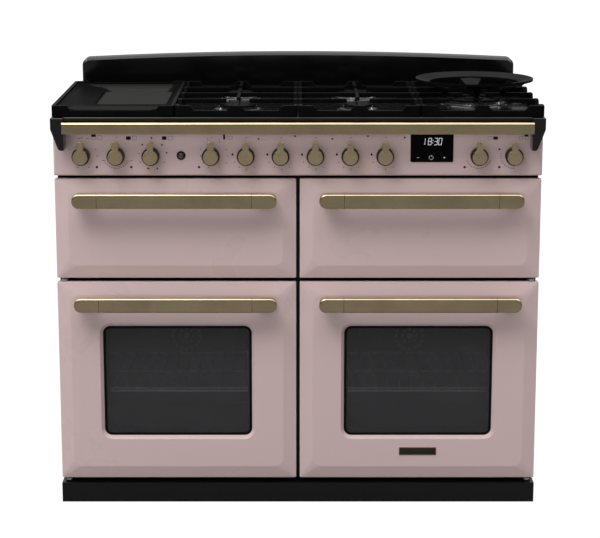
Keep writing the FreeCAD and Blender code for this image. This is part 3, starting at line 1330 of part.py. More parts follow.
def oven_shelf():
    """Wire shelf that rests on one pair of runners of the right-hand lower oven."""
    x0 = CAVITY_CENTRE_X + SHELF_SIDE_GAP
    x1 = CAVITY_X1 - SHELF_SIDE_GAP
    z = runner_z(SHELF_RUNNER) + RACK_WIRE_R + LOOSE_GAP + SHELF_ROD_R
    y0 = SHELF_FRONT
    y1 = RACK_BACK + SHELF_BACK_REACH
    corners = [Vector(x0, y0, z), Vector(x1, y0, z), Vector(x1, y1, z), Vector(x0, y1, z)]
    frame = [rod(a, b, SHELF_ROD_R) for a, b in zip(corners, corners[1:] + corners[:1])]
    frame.extend([Part.makeSphere(SHELF_ROD_R, corner) for corner in corners])
    middle = (y0 + y1) / 2.0
    frame.append(rod(Vector(x0, middle, z), Vector(x1, middle, z), SHELF_ROD_R))
    wire_z = z + SHELF_ROD_R + SHELF_WIRE_R - WELD_SINK
    bar_z = wire_z + SHELF_WIRE_R + SHELF_WIRE_R - WELD_SINK
    step = (x1 - x0) / (SHELF_WIRES + 1)
    wires = []
    for number in range(SHELF_WIRES):
        x = x0 + (number + 1) * step
        wires.append(rod(Vector(x, y0 - WELD_SINK, wire_z), Vector(x, y1 + WELD_SINK, wire_z), SHELF_WIRE_R))
    bar_x0 = x0 + step - SHELF_ROD_R
    bar_x1 = x1 - step + SHELF_ROD_R
    wires.append(rod(Vector(bar_x0, y0 + SHELF_WIRE_R, bar_z), Vector(bar_x1, y0 + SHELF_WIRE_R, bar_z),
                     SHELF_WIRE_R))
    return joined(frame + wires)


def grill_pan():
    """Pan whose rim hangs on the ledges of the left-hand upper oven."""
    x0 = CAVITY_CENTRE_X
    x1 = CAVITY_X1
    y1 = CAVITY_BACK - PAN_BACK_GAP
    rim_z = UPPER_CAVITY_Z0 + LEDGE_LIFT + LOOSE_GAP
    gap = PAN_BODY_GAP
    body = level_plate(x0 + gap, x1 - gap, PAN_FRONT, y1, TRAY_CORNER_R, rim_z - PAN_TRAY_DEPTH,
                       rim_z + PLATE)
    rim = block(x0 + PAN_RIM_GAP, x1 - PAN_RIM_GAP, PAN_FRONT + SHEET, y1 - SHEET, rim_z, rim_z + PLATE)
    gap = PAN_BODY_GAP + PLATE
    hollow = level_plate(x0 + gap, x1 - gap, PAN_FRONT + PLATE, y1 - PLATE, TRAY_CORNER_R - PLATE,
                         rim_z - PAN_TRAY_DEPTH + PLATE, rim_z + PLATE + OVERRUN)
    return [mirrored(joined([body, rim]).cut(hollow))]


def save_doors():
    """The right-hand pieces are drawn once and mirrored for the left."""
    names = ("panel", "inner", "handle")
    for name, shapes in zip(names, upper_door()):
        save("slow_door_" + name, shapes)
        save("grill_door_" + name, [mirrored(shape) for shape in shapes])
    names = ("panel", "glass", "inner", "handle")
    for name, shapes in zip(names, lower_door()):
        save("right_door_" + name, shapes)
        save("left_door_" + name, [mirrored(shape) for shape in shapes])


def save_carcass():
    save("plinth", plinth())
    save("base_frame", base_frame())
    save("levelling_feet", levelling_feet())
    save("side_panels", side_panels())
    save("back_panel", back_panel())
    save("front_frame", [front_frame()])
    save("door_hinges", drop_hinges() + side_hinges())
    save("door_seals", door_seals())


def save_ovens():
    save("oven_liners", on_both_sides(lower_liner()))
    save("upper_oven_liners", on_both_sides(upper_liner()))
    save("fan_covers", [fan_cover(), mirrored(fan_cover())])
    save("fan_motors", [fan_motor(), mirrored(fan_motor())])
    save("fan_right", [fan()])
    save("fan_left", [mirrored(fan())])
    save("heating_elements", heating_elements())
    save("shelf_racks", shelf_racks())
    save("shelf_right", [oven_shelf()])
    save("shelf_left", [moved_left(oven_shelf())])
    save("grill_pan", grill_pan())


def save_controls():
    save("control_panel", control_panel())
    save("display_glass", display_glass())
    save("control_valves", control_valves())
    save("lamp_button", lamp_button())
    for number, x in enumerate(knob_places(), start=1):
        save("knob_" + str(number), knob(x))
    save("towel_rail", towel_rail())
    save("rail_brackets", rail_brackets())


def save_hob():
    centres = support_centres()
    save("hob_top", hob_top())
    save("burner_heads", burner_heads())
    save("burner_caps", burner_caps())
    save("griddle_support", griddle_support(centres[0]))
    save("pan_support_left", pan_support(centres[1]))
    save("pan_support_right", pan_support(centres[2]))
    save("wok_support", wok_support(centres[3]))
    save("griddle_plate", griddle_plate(centres[0]))
    save("wok_ring", wok_ring(centres[3]))
    save("rear_upstand", rear_upstand())


save_carcass()
save_doors()
save_ovens()
save_controls()
save_hob()
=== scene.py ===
import json
import math

import bmesh
import bpy
from mathutils import Matrix, Vector


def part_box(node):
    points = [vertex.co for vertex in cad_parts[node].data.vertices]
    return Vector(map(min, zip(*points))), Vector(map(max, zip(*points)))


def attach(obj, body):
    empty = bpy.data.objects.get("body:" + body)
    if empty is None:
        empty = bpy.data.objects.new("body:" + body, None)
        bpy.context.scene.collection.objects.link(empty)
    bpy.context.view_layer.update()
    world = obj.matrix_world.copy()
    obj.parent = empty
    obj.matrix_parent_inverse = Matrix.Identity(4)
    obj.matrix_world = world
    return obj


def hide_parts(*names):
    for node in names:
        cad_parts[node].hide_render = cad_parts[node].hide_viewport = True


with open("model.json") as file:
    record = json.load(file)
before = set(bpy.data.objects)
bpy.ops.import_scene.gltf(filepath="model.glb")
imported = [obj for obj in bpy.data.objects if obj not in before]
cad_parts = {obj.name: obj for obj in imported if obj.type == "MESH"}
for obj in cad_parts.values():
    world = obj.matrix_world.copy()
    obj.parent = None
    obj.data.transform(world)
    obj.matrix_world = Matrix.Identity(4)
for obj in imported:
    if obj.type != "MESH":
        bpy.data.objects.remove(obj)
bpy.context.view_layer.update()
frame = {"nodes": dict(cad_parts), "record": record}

# Pieces are drawn in millimetres, with y measured back from the flat door fronts.
MM = 0.001
DOOR_FRONT = Vector((0.0, 265.0, 0.0))
TO_METRES = Matrix.Diagonal((MM, MM, MM, 1.0)) @ Matrix.Translation(-DOOR_FRONT)
KNOBS = ["knob_%d" % number for number in range(1, 12)]
DOORS = {"grill_door": "upper", "slow_door": "upper", "left_door": "lower", "right_door": "lower"}


def drawn_box(node):
    low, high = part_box(node)
    return Vector(low) / MM + DOOR_FRONT, Vector(high) / MM + DOOR_FRONT


# Finishes

def shader_group(name, inputs, outputs):
    group = bpy.data.node_groups.new(name, "ShaderNodeTree")
    for label, kind, value in inputs:
        socket = group.interface.new_socket(name=label, in_out="INPUT", socket_type="NodeSocket" + kind)
        socket.default_value = value
    for label, kind in outputs:
        group.interface.new_socket(name=label, in_out="OUTPUT", socket_type="NodeSocket" + kind)
    return group, group.nodes.new("NodeGroupInput"), group.nodes.new("NodeGroupOutput")


def node(tree, kind, links=(), **settings):
    """Adds a node, sets its properties, and links or sets its inputs."""
    added = tree.nodes.new("ShaderNode" + kind)
    for key, value in settings.items():
        setattr(added, key, value)
    for socket, value in links:
        if isinstance(value, bpy.types.NodeSocket):
            tree.links.new(value, added.inputs[socket])
        else:
            added.inputs[socket].default_value = value
    return added


def stretched(tree, scale):
    """Object coordinates multiplied by a scale vector."""
    place = node(tree, "TexCoord")
    return node(tree, "VectorMath", [(0, place.outputs["Object"]), (1, scale)],
                operation="MULTIPLY").outputs[0]


def spread(tree, value, low, high, start=0.0, end=1.0):
    return node(tree, "MapRange", [("Value", value), ("From Min", start), ("From Max", end),
                                   ("To Min", low), ("To Max", high)]).outputs["Result"]


def edge_wear_group():
    """Broken mask along sharp edges, where the surface is rubbed."""
    inputs = [("Radius", "Float", 0.0015), ("Patches", "Float", 90.0)]
    group, source, sink = shader_group("edge wear", inputs, [("Mask", "Float")])
    soft = node(group, "Bevel", [("Radius", source.outputs["Radius"])], samples=6)
    plain = node(group, "NewGeometry")
    facing = node(group, "VectorMath", [(0, soft.outputs["Normal"]), (1, plain.outputs["Normal"])],
                  operation="DOT_PRODUCT")
    edge = spread(group, facing.outputs["Value"], 0.0, 1.0, 0.995, 0.9)
    place = node(group, "TexCoord")
    patches = node(group, "TexNoise", [("Vector", place.outputs["Object"]),
                                       ("Scale", source.outputs["Patches"]),
                                       ("Detail", 4.0), ("Roughness", 0.6)])
    broken = spread(group, patches.outputs["Fac"], 0.0, 1.0, 0.38, 0.62)
    mask = node(group, "Math", [(0, edge), (1, broken)], operation="MULTIPLY", use_clamp=True)
    group.links.new(mask.outputs[0], sink.inputs["Mask"])
    return group


def cast_grain_group():
    """Fine pitted surface of a sand casting."""
    group, source, sink = shader_group("cast grain", [("Scale", "Float", 700.0)],
                                       [("Height", "Float"), ("Pits", "Float")])
    place = node(group, "TexCoord").outputs["Object"]
    noise = node(group, "TexNoise", [("Vector", place), ("Scale", source.outputs["Scale"]),
                                     ("Detail", 3.0)])
    cells = node(group, "TexVoronoi", [("Vector", place), ("Scale", source.outputs["Scale"])])
    pits = spread(group, cells.outputs["Distance"], 1.0, 0.0, 0.12, 0.45)
    height = node(group, "Math", [(0, noise.outputs["Fac"]), (1, pits)], operation="SUBTRACT")
    group.links.new(height.outputs[0], sink.inputs["Height"])
    group.links.new(pits, sink.inputs["Pits"])
    return group


def brushed_group():
    """Long fine streaks; the stretch vector is short along the brushing."""
    group, source, sink = shader_group("brushed streaks", [("Stretch", "Vector", (20.0, 900.0, 900.0))],
                                       [("Streak", "Float")])
    where = stretched(group, source.outputs["Stretch"])
    fine = node(group, "TexNoise", [("Vector", where), ("Scale", 1.0), ("Detail", 5.0),
                                    ("Roughness", 0.65)])
    group.links.new(fine.outputs["Fac"], sink.inputs["Streak"])
    return group


def cloudy_group():
    """Slow uneven tone, from 0 to 1."""
    group, source, sink = shader_group("cloudy tone", [("Scale", "Float", 12.0)], [("Tone", "Float")])
    place = node(group, "TexCoord").outputs["Object"]
    noise = node(group, "TexNoise", [("Vector", place), ("Scale", source.outputs["Scale"]), ("Detail", 3.0),
                                     ("Distortion", 0.4)])
    group.links.new(spread(group, noise.outputs["Fac"], 0.0, 1.0, 0.3, 0.7), sink.inputs["Tone"])
    return group


def enamel_skin_group():
    """Slight waviness and fine peel of fired enamel."""
    group, source, sink = shader_group("enamel skin", [("Scale", "Float", 260.0)], [("Height", "Float")])
    place = node(group, "TexCoord").outputs["Object"]
    peel = node(group, "TexNoise", [("Vector", place), ("Scale", source.outputs["Scale"]), ("Detail", 2.0)])
    wave = node(group, "TexNoise", [("Vector", place), ("Scale", 9.0), ("Detail", 1.0)])
    both = node(group, "Math", [(0, wave.outputs["Fac"]), (1, 6.0), (2, peel.outputs["Fac"])],
                operation="MULTIPLY_ADD")
    group.links.new(both.outputs[0], sink.inputs["Height"])
    return group


def speckle_group():
    """Small round specks in an enamel."""
    group, source, sink = shader_group("speckle", [("Scale", "Float", 420.0), ("Share", "Float", 0.2)],
                                       [("Mask", "Float")])
    place = node(group, "TexCoord").outputs["Object"]
    cells = node(group, "TexVoronoi", [("Vector", place), ("Scale", source.outputs["Scale"])])
    specks = node(group, "Math", [(0, cells.outputs["Distance"]), (1, source.outputs["Share"])],
                  operation="LESS_THAN")
    group.links.new(specks.outputs[0], sink.inputs["Mask"])
    return group


EDGE_WEAR = edge_wear_group()
CAST_GRAIN = cast_grain_group()
BRUSHED = brushed_group()
CLOUDY = cloudy_group()
ENAMEL_SKIN = enamel_skin_group()
SPECKLE = speckle_group()


def placed_group(tree, group, **values):
    added = tree.nodes.new("ShaderNodeGroup")
    added.node_tree = group
    for label, value in values.items():
        added.inputs[label].default_value = value
    return added.outputs


def new_finish(name, **sockets):
    """A material whose even values are set on the shader's own sockets."""
    material = bpy.data.materials.new(name)
    material.use_nodes = True
    tree = material.node_tree
    shader = tree.nodes["Principled BSDF"]
    for label, value in sockets.items():
        shader.inputs[label.replace("_", " ")].default_value = value
    return material, tree, shader


def rgb(red, green, blue):
    return (red, green, blue, 1.0)


def grey(level):
    return rgb(level, level, level)


def toned(tree, factor, first, second):
    """Colour between two colours, or from a colour output to a colour."""
    return node(tree, "Mix", [("Factor", factor), (6, first), (7, second)], data_type="RGBA").outputs[2]


def bumped(tree, shader, height, distance, strength=1.0):
    bump = node(tree, "Bump", [("Height", height), ("Distance", distance), ("Strength", strength)])
    tree.links.new(bump.outputs["Normal"], shader.inputs["Normal"])


def feed(tree, shader, label, value):
    tree.links.new(value, shader.inputs[label])


def enamel(name, colour, shade, roughness, ior, wear=None, speckled=None, skin=0.0000012):
    """Fired enamel: even colour with slow tone, fine peel, and worn edges or specks where asked."""
    material, tree, shader = new_finish(name, IOR=ior)
    tone = placed_group(tree, CLOUDY, Scale=6.0)["Tone"]
    surface = toned(tree, tone, colour, shade)
    if speckled:
        specks = placed_group(tree, SPECKLE, Scale=speckled[1], Share=speckled[2])["Mask"]
        surface = toned(tree, specks, surface, speckled[0])
    if wear:
        worn = placed_group(tree, EDGE_WEAR, Radius=0.001)["Mask"]
        surface = toned(tree, worn, surface, wear)
    feed(tree, shader, "Base Color", surface)
    feed(tree, shader, "Roughness", spread(tree, tone, roughness * 0.97, roughness * 1.03))
    bumped(tree, shader, placed_group(tree, ENAMEL_SKIN, Scale=320.0)["Height"], skin)
    return material


def metal(name, colour, shade, roughness, stretch, wear=None, relief=0.000004, clouds=14.0):
    """Worked metal with brushing, slow tarnish and brighter rubbed edges."""
    material, tree, shader = new_finish(name, Metallic=1.0)
    tone = placed_group(tree, CLOUDY, Scale=clouds)["Tone"]
    streak = placed_group(tree, BRUSHED, Stretch=stretch)["Streak"]
    surface = toned(tree, tone, colour, shade)
    if wear:
        rubbed = placed_group(tree, EDGE_WEAR, Radius=0.0012)["Mask"]
        surface = toned(tree, rubbed, surface, wear)
    feed(tree, shader, "Base Color", surface)
    feed(tree, shader, "Roughness", spread(tree, streak, roughness * 0.8, roughness * 1.25, 0.3, 0.7))
    bumped(tree, shader, streak, relief)
    return material


def casting(name, colour, shade, roughness, grain, relief, wear, **sockets):
    """Cast or moulded surface with pits, and edges rubbed to another colour."""
    material, tree, shader = new_finish(name, **sockets)
    tone = placed_group(tree, CLOUDY, Scale=22.0)["Tone"]
    grains = placed_group(tree, CAST_GRAIN, Scale=grain)
    worn = placed_group(tree, EDGE_WEAR, Radius=0.0015, Patches=160.0)["Mask"]
    pitted = toned(tree, grains["Pits"], toned(tree, tone, colour, shade), shade)
    feed(tree, shader, "Base Color", toned(tree, worn, pitted, wear))
    feed(tree, shader, "Roughness", spread(tree, grains["Pits"], roughness, min(1.0, roughness * 1.3)))
    bumped(tree, shader, grains["Height"], relief)
    return material


def glossy(name, colour, roughness, **sockets):
    """Smooth glass, plastic or print with faint smears in its gloss."""
    material, tree, shader = new_finish(name, **sockets)
    tone = placed_group(tree, CLOUDY, Scale=18.0)["Tone"]
    feed(tree, shader, "Base Color", toned(tree, tone, colour, rgb(*(part * 0.9 for part in colour[:3]))))
    feed(tree, shader, "Roughness", spread(tree, tone, roughness * 0.8, roughness * 1.3))
    return material


pink = enamel("dusty pink enamel", rgb(0.522, 0.397, 0.394), rgb(0.520, 0.395, 0.392), 0.28, 1.42)
black = enamel("black gloss enamel", rgb(0.0016, 0.0016, 0.0018), rgb(0.0022, 0.0022, 0.0024), 0.12, 1.5,
               wear=grey(0.006))
black_satin = enamel("black satin enamel", rgb(0.0016, 0.0016, 0.0017), rgb(0.0022, 0.0022, 0.0023), 0.3,
                     1.4)
liner_enamel = enamel("speckled oven enamel", rgb(0.020, 0.021, 0.024), rgb(0.026, 0.027, 0.030), 0.3, 1.45,
                      speckled=(rgb(0.16, 0.17, 0.19), 520.0, 0.2))
door_back = enamel("door back enamel", rgb(0.014, 0.014, 0.016), rgb(0.020, 0.020, 0.022), 0.25, 1.45,
                   speckled=(rgb(0.06, 0.06, 0.07), 760.0, 0.16))
brass_bar = metal("antique brass bar", rgb(0.53, 0.430, 0.262), rgb(0.43, 0.340, 0.208), 0.2,
                  (18.0, 700.0, 700.0), wear=rgb(0.76, 0.62, 0.40), relief=0.0000015)
brass_knob = metal("antique brass knob", rgb(0.62, 0.500, 0.306), rgb(0.56, 0.440, 0.266), 0.28,
                   (26.0, 26.0, 60.0), wear=rgb(0.74, 0.61, 0.40), clouds=34.0, relief=0.0000001)
chrome = metal("polished wire", rgb(0.90, 0.90, 0.91), rgb(0.80, 0.80, 0.81), 0.38, (300.0, 300.0, 300.0),
               relief=0.000001, clouds=40.0)
zinc = metal("zinc plated steel", rgb(0.56, 0.57, 0.58), rgb(0.44, 0.45, 0.47), 0.42, (60.0, 380.0, 60.0),
             wear=rgb(0.7, 0.71, 0.72), clouds=26.0)
aluminium = casting("cast aluminium", rgb(0.40, 0.40, 0.39), rgb(0.28, 0.275, 0.27), 0.22, 900.0, 0.00002,
                    rgb(0.60, 0.60, 0.59), Metallic=1.0)
iron = casting("matt enamelled iron", rgb(0.0026, 0.0026, 0.0027), rgb(0.0040, 0.0040, 0.0042), 0.26, 1100.0,
               0.00002, grey(0.009), IOR=1.05)
element_steel = casting("heated element steel", rgb(0.13, 0.12, 0.115), rgb(0.08, 0.076, 0.075), 0.5, 1500.0,
                        0.00001, rgb(0.2, 0.19, 0.18), Metallic=0.8)
seal_fibre = casting("woven door seal", grey(0.028), grey(0.015), 0.85, 650.0, 0.0004, grey(0.05))
window = glossy("tinted oven glass", rgb(0.050, 0.050, 0.053), 0.035, IOR=1.45, Alpha=0.33)
window_print = glossy("black glass print", grey(0.001), 0.12, IOR=1.2)
display_face = glossy("display glass", grey(0.001), 0.08, IOR=1.15)
smoked_chrome = metal("smoked chrome", grey(0.22), grey(0.15), 0.14, (300.0, 300.0, 300.0),
                      relief=0.000001)
display_light = glossy("lit digits", rgb(0.75, 0.80, 0.85), 0.4, Emission_Color=(0.85, 0.92, 1.0, 1.0),
                       Emission_Strength=0.55)
fascia_print = glossy("fascia print", rgb(0.006, 0.005, 0.005), 0.5, IOR=1.2)
fascia_print_pale = glossy("fine fascia print", rgb(0.012, 0.009, 0.009), 0.5, IOR=1.2)
plate_bronze = metal("dark bronze plate", rgb(0.066, 0.059, 0.048), rgb(0.050, 0.043, 0.036), 0.38,
                     (30.0, 600.0, 600.0), wear=rgb(0.2, 0.17, 0.12))
lamp_glass = glossy("frosted lamp glass", rgb(0.62, 0.62, 0.58), 0.3, IOR=1.5)
ceramic = glossy("white ceramic", rgb(0.62, 0.60, 0.56), 0.4)


# Heights in metres over which the griddle's faces change from the lighter iron colour below to the
# near-black colour above, which on the slopes is painted shade.
FLOOR_COLOUR_LEVELS = (0.9185, 0.925)


def griddle_finish():
    """Seasoned iron with a cast grain; the level floor and the slope facing forwards keep the lighter iron
    colour, slopes that face right or backwards are painted near black as shade, and the rim faces are near
    black too.
    """
    material, tree, shader = new_finish("griddle iron", IOR=1.03)
    facing = node(tree, "SeparateXYZ", [(0, node(tree, "NewGeometry").outputs["Normal"])])
    sideways = node(tree, "Math", [(0, facing.outputs["X"])], operation="ABSOLUTE").outputs[0]
    slope = node(tree, "Math", [(0, sideways), (1, facing.outputs["Y"])], operation="MAXIMUM").outputs[0]
    not_turned_away = spread(tree, slope, 1.0, 0.0, 0.006, 0.03)
    height = node(tree, "SeparateXYZ", [(0, node(tree, "TexCoord").outputs["Object"])]).outputs["Z"]
    low = spread(tree, height, 1.0, 0.0, *FLOOR_COLOUR_LEVELS)
    unshaded = node(tree, "Math", [(0, not_turned_away), (1, low)], operation="MULTIPLY").outputs[0]
    grains = placed_group(tree, CAST_GRAIN, Scale=380.0)
    # Near black for slopes that face right or backwards: painted shade, chosen by the face's direction.
    slope_shade = toned(tree, grains["Pits"], grey(0.0016), grey(0.001))
    seasoned = toned(tree, grains["Pits"], rgb(0.024, 0.024, 0.023), grey(0.007))
    feed(tree, shader, "Base Color", toned(tree, unshaded, slope_shade, seasoned))
    feed(tree, shader, "Roughness", spread(tree, unshaded, 0.3, 0.7))
    bumped(tree, shader, grains["Height"], 0.00006)
    return material


griddle_iron = griddle_finish()

FINISH = {"pink_enamel": pink, "antique_brass": brass_bar, "black_enamel": black, "cast_iron": iron,
          "burner_aluminium": aluminium, "grey_enamel": liner_enamel, "chrome_wire": chrome,
          "window_glass": window, "display_black": display_face, "zinc_steel": zinc,
          "seal_rubber": seal_fibre}
OWN_FINISH = {"griddle_plate": griddle_iron, "heating_elements": element_steel, "rail_brackets": black,
              "front_frame": black_satin, "plinth": black_satin, "side_panels": black_satin,
              "door_hinges": zinc, "lamp_button": smoked_chrome}
OWN_FINISH.update({name: brass_knob for name in KNOBS})
OWN_FINISH.update({body + "_inner": door_back for body in DOORS})

# Carried-over nodes

node_slot = {entry["node"]: entry["material_slot"] for entry in frame["record"]["subparts"]}
node_body = {name: body for body, names in frame["record"]["behaviour"]["bodies"].items() for name in names}


def finish_of(name):
    return OWN_FINISH.get(name, FINISH[node_slot[name]])


for name, carried in frame["nodes"].items():
    carried.data.materials.clear()
    carried.data.materials.append(finish_of(name))

# Making of pieces

WELD = 0.000002
CUT_REACH = 0.000001
SMOOTH_ANGLE = 35.0
SOFT_ANGLE = 40.0
SAME_PLANE = 0.001
SAME_PLANE_METRES = 0.0002


def as_object(mesh, name, body, finish, smooth=SMOOTH_ANGLE):
    added = bpy.data.objects.new(name, mesh)
    bpy.context.scene.collection.objects.link(added)
    mesh.materials.clear()
    mesh.materials.append(finish)
    mesh.shade_smooth()
    mesh.set_sharp_from_angle(angle=math.radians(smooth))
    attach(added, body)
    return added


def as_piece(bm, name, body, finish, smooth=SMOOTH_ANGLE):
    """Object from a mesh drawn in millimetres."""
    bmesh.ops.transform(bm, matrix=TO_METRES, verts=bm.verts[:])
    mesh = bpy.data.meshes.new(name)
    bm.to_mesh(mesh)
    bm.free()
    return as_object(mesh, name, body, finish, smooth)


def joined_in(bm, other):
    mesh = bpy.data.meshes.new("part")
    other.to_mesh(mesh)
    other.free()
    bm.from_mesh(mesh)
    bpy.data.meshes.remove(mesh)


def even_shading(added):
    modifier = added.modifiers.new("even shading", "WEIGHTED_NORMAL")
    modifier.keep_sharp = True


def eased(bm, geom, offset, segments, affect="EDGES", clamped=True):
    """Rounds edges, or the corners of a flat face."""
    bmesh.ops.bevel(bm, geom=geom, offset=offset, offset_type="OFFSET", segments=segments, profile=0.5,
                    affect=affect, clamp_overlap=clamped, material=-1)


def edges_at(bm, axis, place):
    """Edges that lie at one place on an axis, 1 for depth and 2 for height."""
    return [edge for edge in bm.edges if all(abs(vert.co[axis] - place) < SAME_PLANE for vert in edge.verts)]


def thickened(flat, vector):
    """Gives a flat face a thickness."""
    grown = bmesh.ops.extrude_face_region(flat, geom=flat.faces[:])
    moved = [item for item in grown["geom"] if isinstance(item, bmesh.types.BMVert)]
    bmesh.ops.translate(flat, verts=moved, vec=vector)
    bmesh.ops.recalc_face_normals(flat, faces=flat.faces[:])


def split_at(bm, place, normal, **options):
    bmesh.ops.bisect_plane(bm, geom=bm.verts[:] + bm.edges[:] + bm.faces[:], plane_co=place,
                           plane_no=normal, **options)


def close_cut(bm):
    bmesh.ops.edgeloop_fill(bm, edges=[edge for edge in bm.edges if edge.is_boundary])


def add_ring(bm, x0, x1, z0, z1, radius, y, steps=8):
    """Adds the edges of an upright rectangle with round corners and returns them."""
    ring = bmesh.new()
    corners = [ring.verts.new((x, y, z)) for x, z in ((x0, z0), (x1, z0), (x1, z1), (x0, z1))]
    ring.faces.new(corners)
    eased(ring, ring.verts[:], radius, steps, "VERTICES", False)
    bmesh.ops.delete(ring, geom=ring.faces[:], context="FACES_ONLY")
    start = len(bm.edges)
    joined_in(bm, ring)
    bm.edges.ensure_lookup_table()
    return bm.edges[start:]


def upright_block(x0, x1, z0, z1, radius, back, depth, steps):
    """Block with round corners as seen from the front, from its back plane forwards."""
    bm = bmesh.new()
    bmesh.ops.edgeloop_fill(bm, edges=add_ring(bm, x0, x1, z0, z1, radius, back, steps))
    thickened(bm, (0, -depth, 0))
    return bm


def level_plate(x0, x1, y0, y1, radius, z0, z1, steps=10):
    """Plate with round corners as seen from above."""
    bm = bmesh.new()
    corners = [bm.verts.new((x, y, z0)) for x, y in ((x0, y0), (x1, y0), (x1, y1), (x0, y1))]
    bm.faces.new(corners)
    eased(bm, bm.verts[:], radius, steps, "VERTICES", False)
    thickened(bm, (0, 0, z1 - z0))
    return bm


def turned(x, y, profile, steps=64):
    """Closed piece turned about an upright axis from pairs of radius and height."""
    bm = bmesh.new()
    verts = [bm.verts.new((x + radius, y, z)) for radius, z in profile]
    edges = [bm.edges.new(pair) for pair in zip(verts, verts[1:])]
    bmesh.ops.spin(bm, geom=verts + edges, cent=(x, y, 0.0), axis=(0.0, 0.0, 1.0), angle=math.tau,
                   steps=steps, use_merge=True)
    bmesh.ops.remove_doubles(bm, verts=bm.verts[:], dist=0.001)
    bmesh.ops.recalc_face_normals(bm, faces=bm.faces[:])
    return bm


def swung(bm, degrees, axis, centre=(0, 0, 0)):
    bmesh.ops.rotate(bm, verts=bm.verts[:], cent=centre,
                     matrix=Matrix.Rotation(math.radians(degrees), 3, axis))


def looking_forward(bm, x, y, z):
    """Lays a level piece down about the origin, so that its top looks forwards, and moves it."""
    swung(bm, 90.0, "X")
    bmesh.ops.translate(bm, verts=bm.verts[:], vec=(x, y, z))
    return bm


def bridged(bm, rings):
    for first, second in zip(rings, rings[1:]):
        bmesh.ops.bridge_loops(bm, edges=first + second)


def facing_front(bm):
    """Turns the faces so that the largest one looks forwards."""
    bmesh.ops.recalc_face_normals(bm, faces=bm.faces[:])
    largest = max(bm.faces, key=lambda face: face.calc_area())
    if largest.normal.y > 0:
        bmesh.ops.reverse_faces(bm, faces=bm.faces[:])


# Nodes that keep their shape, with softly rounded edges

def rounded(bm, width, segments, angle, choose, merge):
    """Merges a node's loose triangles into clean faces and rounds its sharp edges."""
    bmesh.ops.remove_doubles(bm, verts=bm.verts[:], dist=WELD)
    bmesh.ops.dissolve_limit(bm, angle_limit=math.radians(merge), verts=bm.verts[:], edges=bm.edges[:])
    if not width:
        return
    picked = []
    for edge in bm.edges:
        if len(edge.link_faces) == 2 and edge.calc_face_angle(0.0) > math.radians(angle):
            if choose is None or choose(edge):
                picked.append(edge)
    eased(bm, picked, width * MM, segments)


def softened(name, width=0.0, segments=2, angle=30.0, choose=None, merge=1.0, trim=0.0):
    """Copy of a node with round shading and, where a width is given, rounded edges.

    Trim cuts its lowest tips off level, that far above its lowest point.
    """
    bm = bmesh.new()
    bm.from_mesh(frame["nodes"][name].data)
    rounded(bm, width, segments, angle, choose, merge)
    if trim:
        lowest = min(vert.co.z for vert in bm.verts)
        split_at(bm, (0, 0, lowest + trim * MM), (0, 0, -1), dist=CUT_REACH, clear_outer=True)
        close_cut(bm)
        bmesh.ops.recalc_face_normals(bm, faces=bm.faces[:])
    mesh = bpy.data.meshes.new(name + "_soft")
    bm.to_mesh(mesh)
    bm.free()
    added = as_object(mesh, name + "_soft", node_body[name], finish_of(name), SOFT_ANGLE)
    even_shading(added)
    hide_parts(name)


ARCH_HEIGHT = 0.04
TRAY_LIP = 0.012


def upstand_arch(edge):
    """Front edge of the arched top."""
    low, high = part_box("rear_upstand")
    return all(vert.co.y < low[1] + SAME_PLANE_METRES and vert.co.z > high[2] - ARCH_HEIGHT
               for vert in edge.verts)


def hob_rim(edge):
    """Outer top edges of the hob tray."""
    low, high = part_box("hob_top")
    tops = all(abs(vert.co.z - high[2]) < SAME_PLANE_METRES for vert in edge.verts)
    middle = (edge.verts[0].co + edge.verts[1].co) / 2.0
    return tops and min(middle.x - low[0], high[0] - middle.x, middle.y - low[1]) < TRAY_LIP


softened("towel_rail", 0.8)
softened("rail_brackets", 1.5, 3, trim=4.0)
softened("rear_upstand", 8.0, 1, angle=20.0, choose=upstand_arch, merge=0.02)
softened("control_panel", 0.8)
for name in ("griddle_support", "pan_support_left", "pan_support_right", "wok_support"):
    softened(name, 1.1)
softened("wok_ring", 1.2)
softened("burner_caps", 0.6)
for name in ("shelf_left", "shelf_right", "shelf_racks", "fan_left", "fan_right", "fan_motors",
             "lamp_button", "heating_elements", "levelling_feet", "slow_door_inner", "grill_door_inner",
             "left_door_inner", "right_door_inner", "grill_pan", "door_hinges"):
    softened(name)
softened("hob_top", 2.6, 4, choose=hob_rim)

# Door skins: pairs are an inset and the depth behind the flat front

BORDER = 30.0
BORDER_DROP = 9.0
CREASE_EASE = 1.8
OUTER_CORNER = 3.0
FLAT_CORNER = 20.0
EDGE_ROLL = ((0.0, 9.95), (0.12, 9.38), (0.40, 8.92), (0.82, 8.56))
BORDER_INSETS = (2.0, 8.0, 15.0, 22.0, 28.2, 29.0, 29.7, 30.4, 31.1, 31.8, 36.0)
WINDOW_MARGIN = (94.5, 96.0)
WINDOW_CORNER = 24.0
WINDOW_BEVEL = ((-4.0, 0.0), (-1.0, 0.0), (-0.4, 0.12), (0.3, 0.55), (0.9, 1.1), (6.5, 7.4), (7.0, 8.0))
SKIN = 1.3
SKIN_ANGLE = 50.0
WALL_BAND = 0.01
DROP_HINGES = (30.0, 524.0)
DROP_NOTCH = (2.6, 11.3)
SIDE_PIN_X = 530.0
SIDE_NOTCH = (5.0, 10.8)


def border_drop(inset):
    """Depth of the flat sloping border, eased over a short way where it meets the flat panel."""
    beyond = BORDER + CREASE_EASE - inset
    slope = BORDER_DROP / BORDER
    if beyond > 2.0 * CREASE_EASE:
        return slope * (BORDER - inset)
    return slope * max(0.0, beyond) ** 2 / (4.0 * CREASE_EASE)


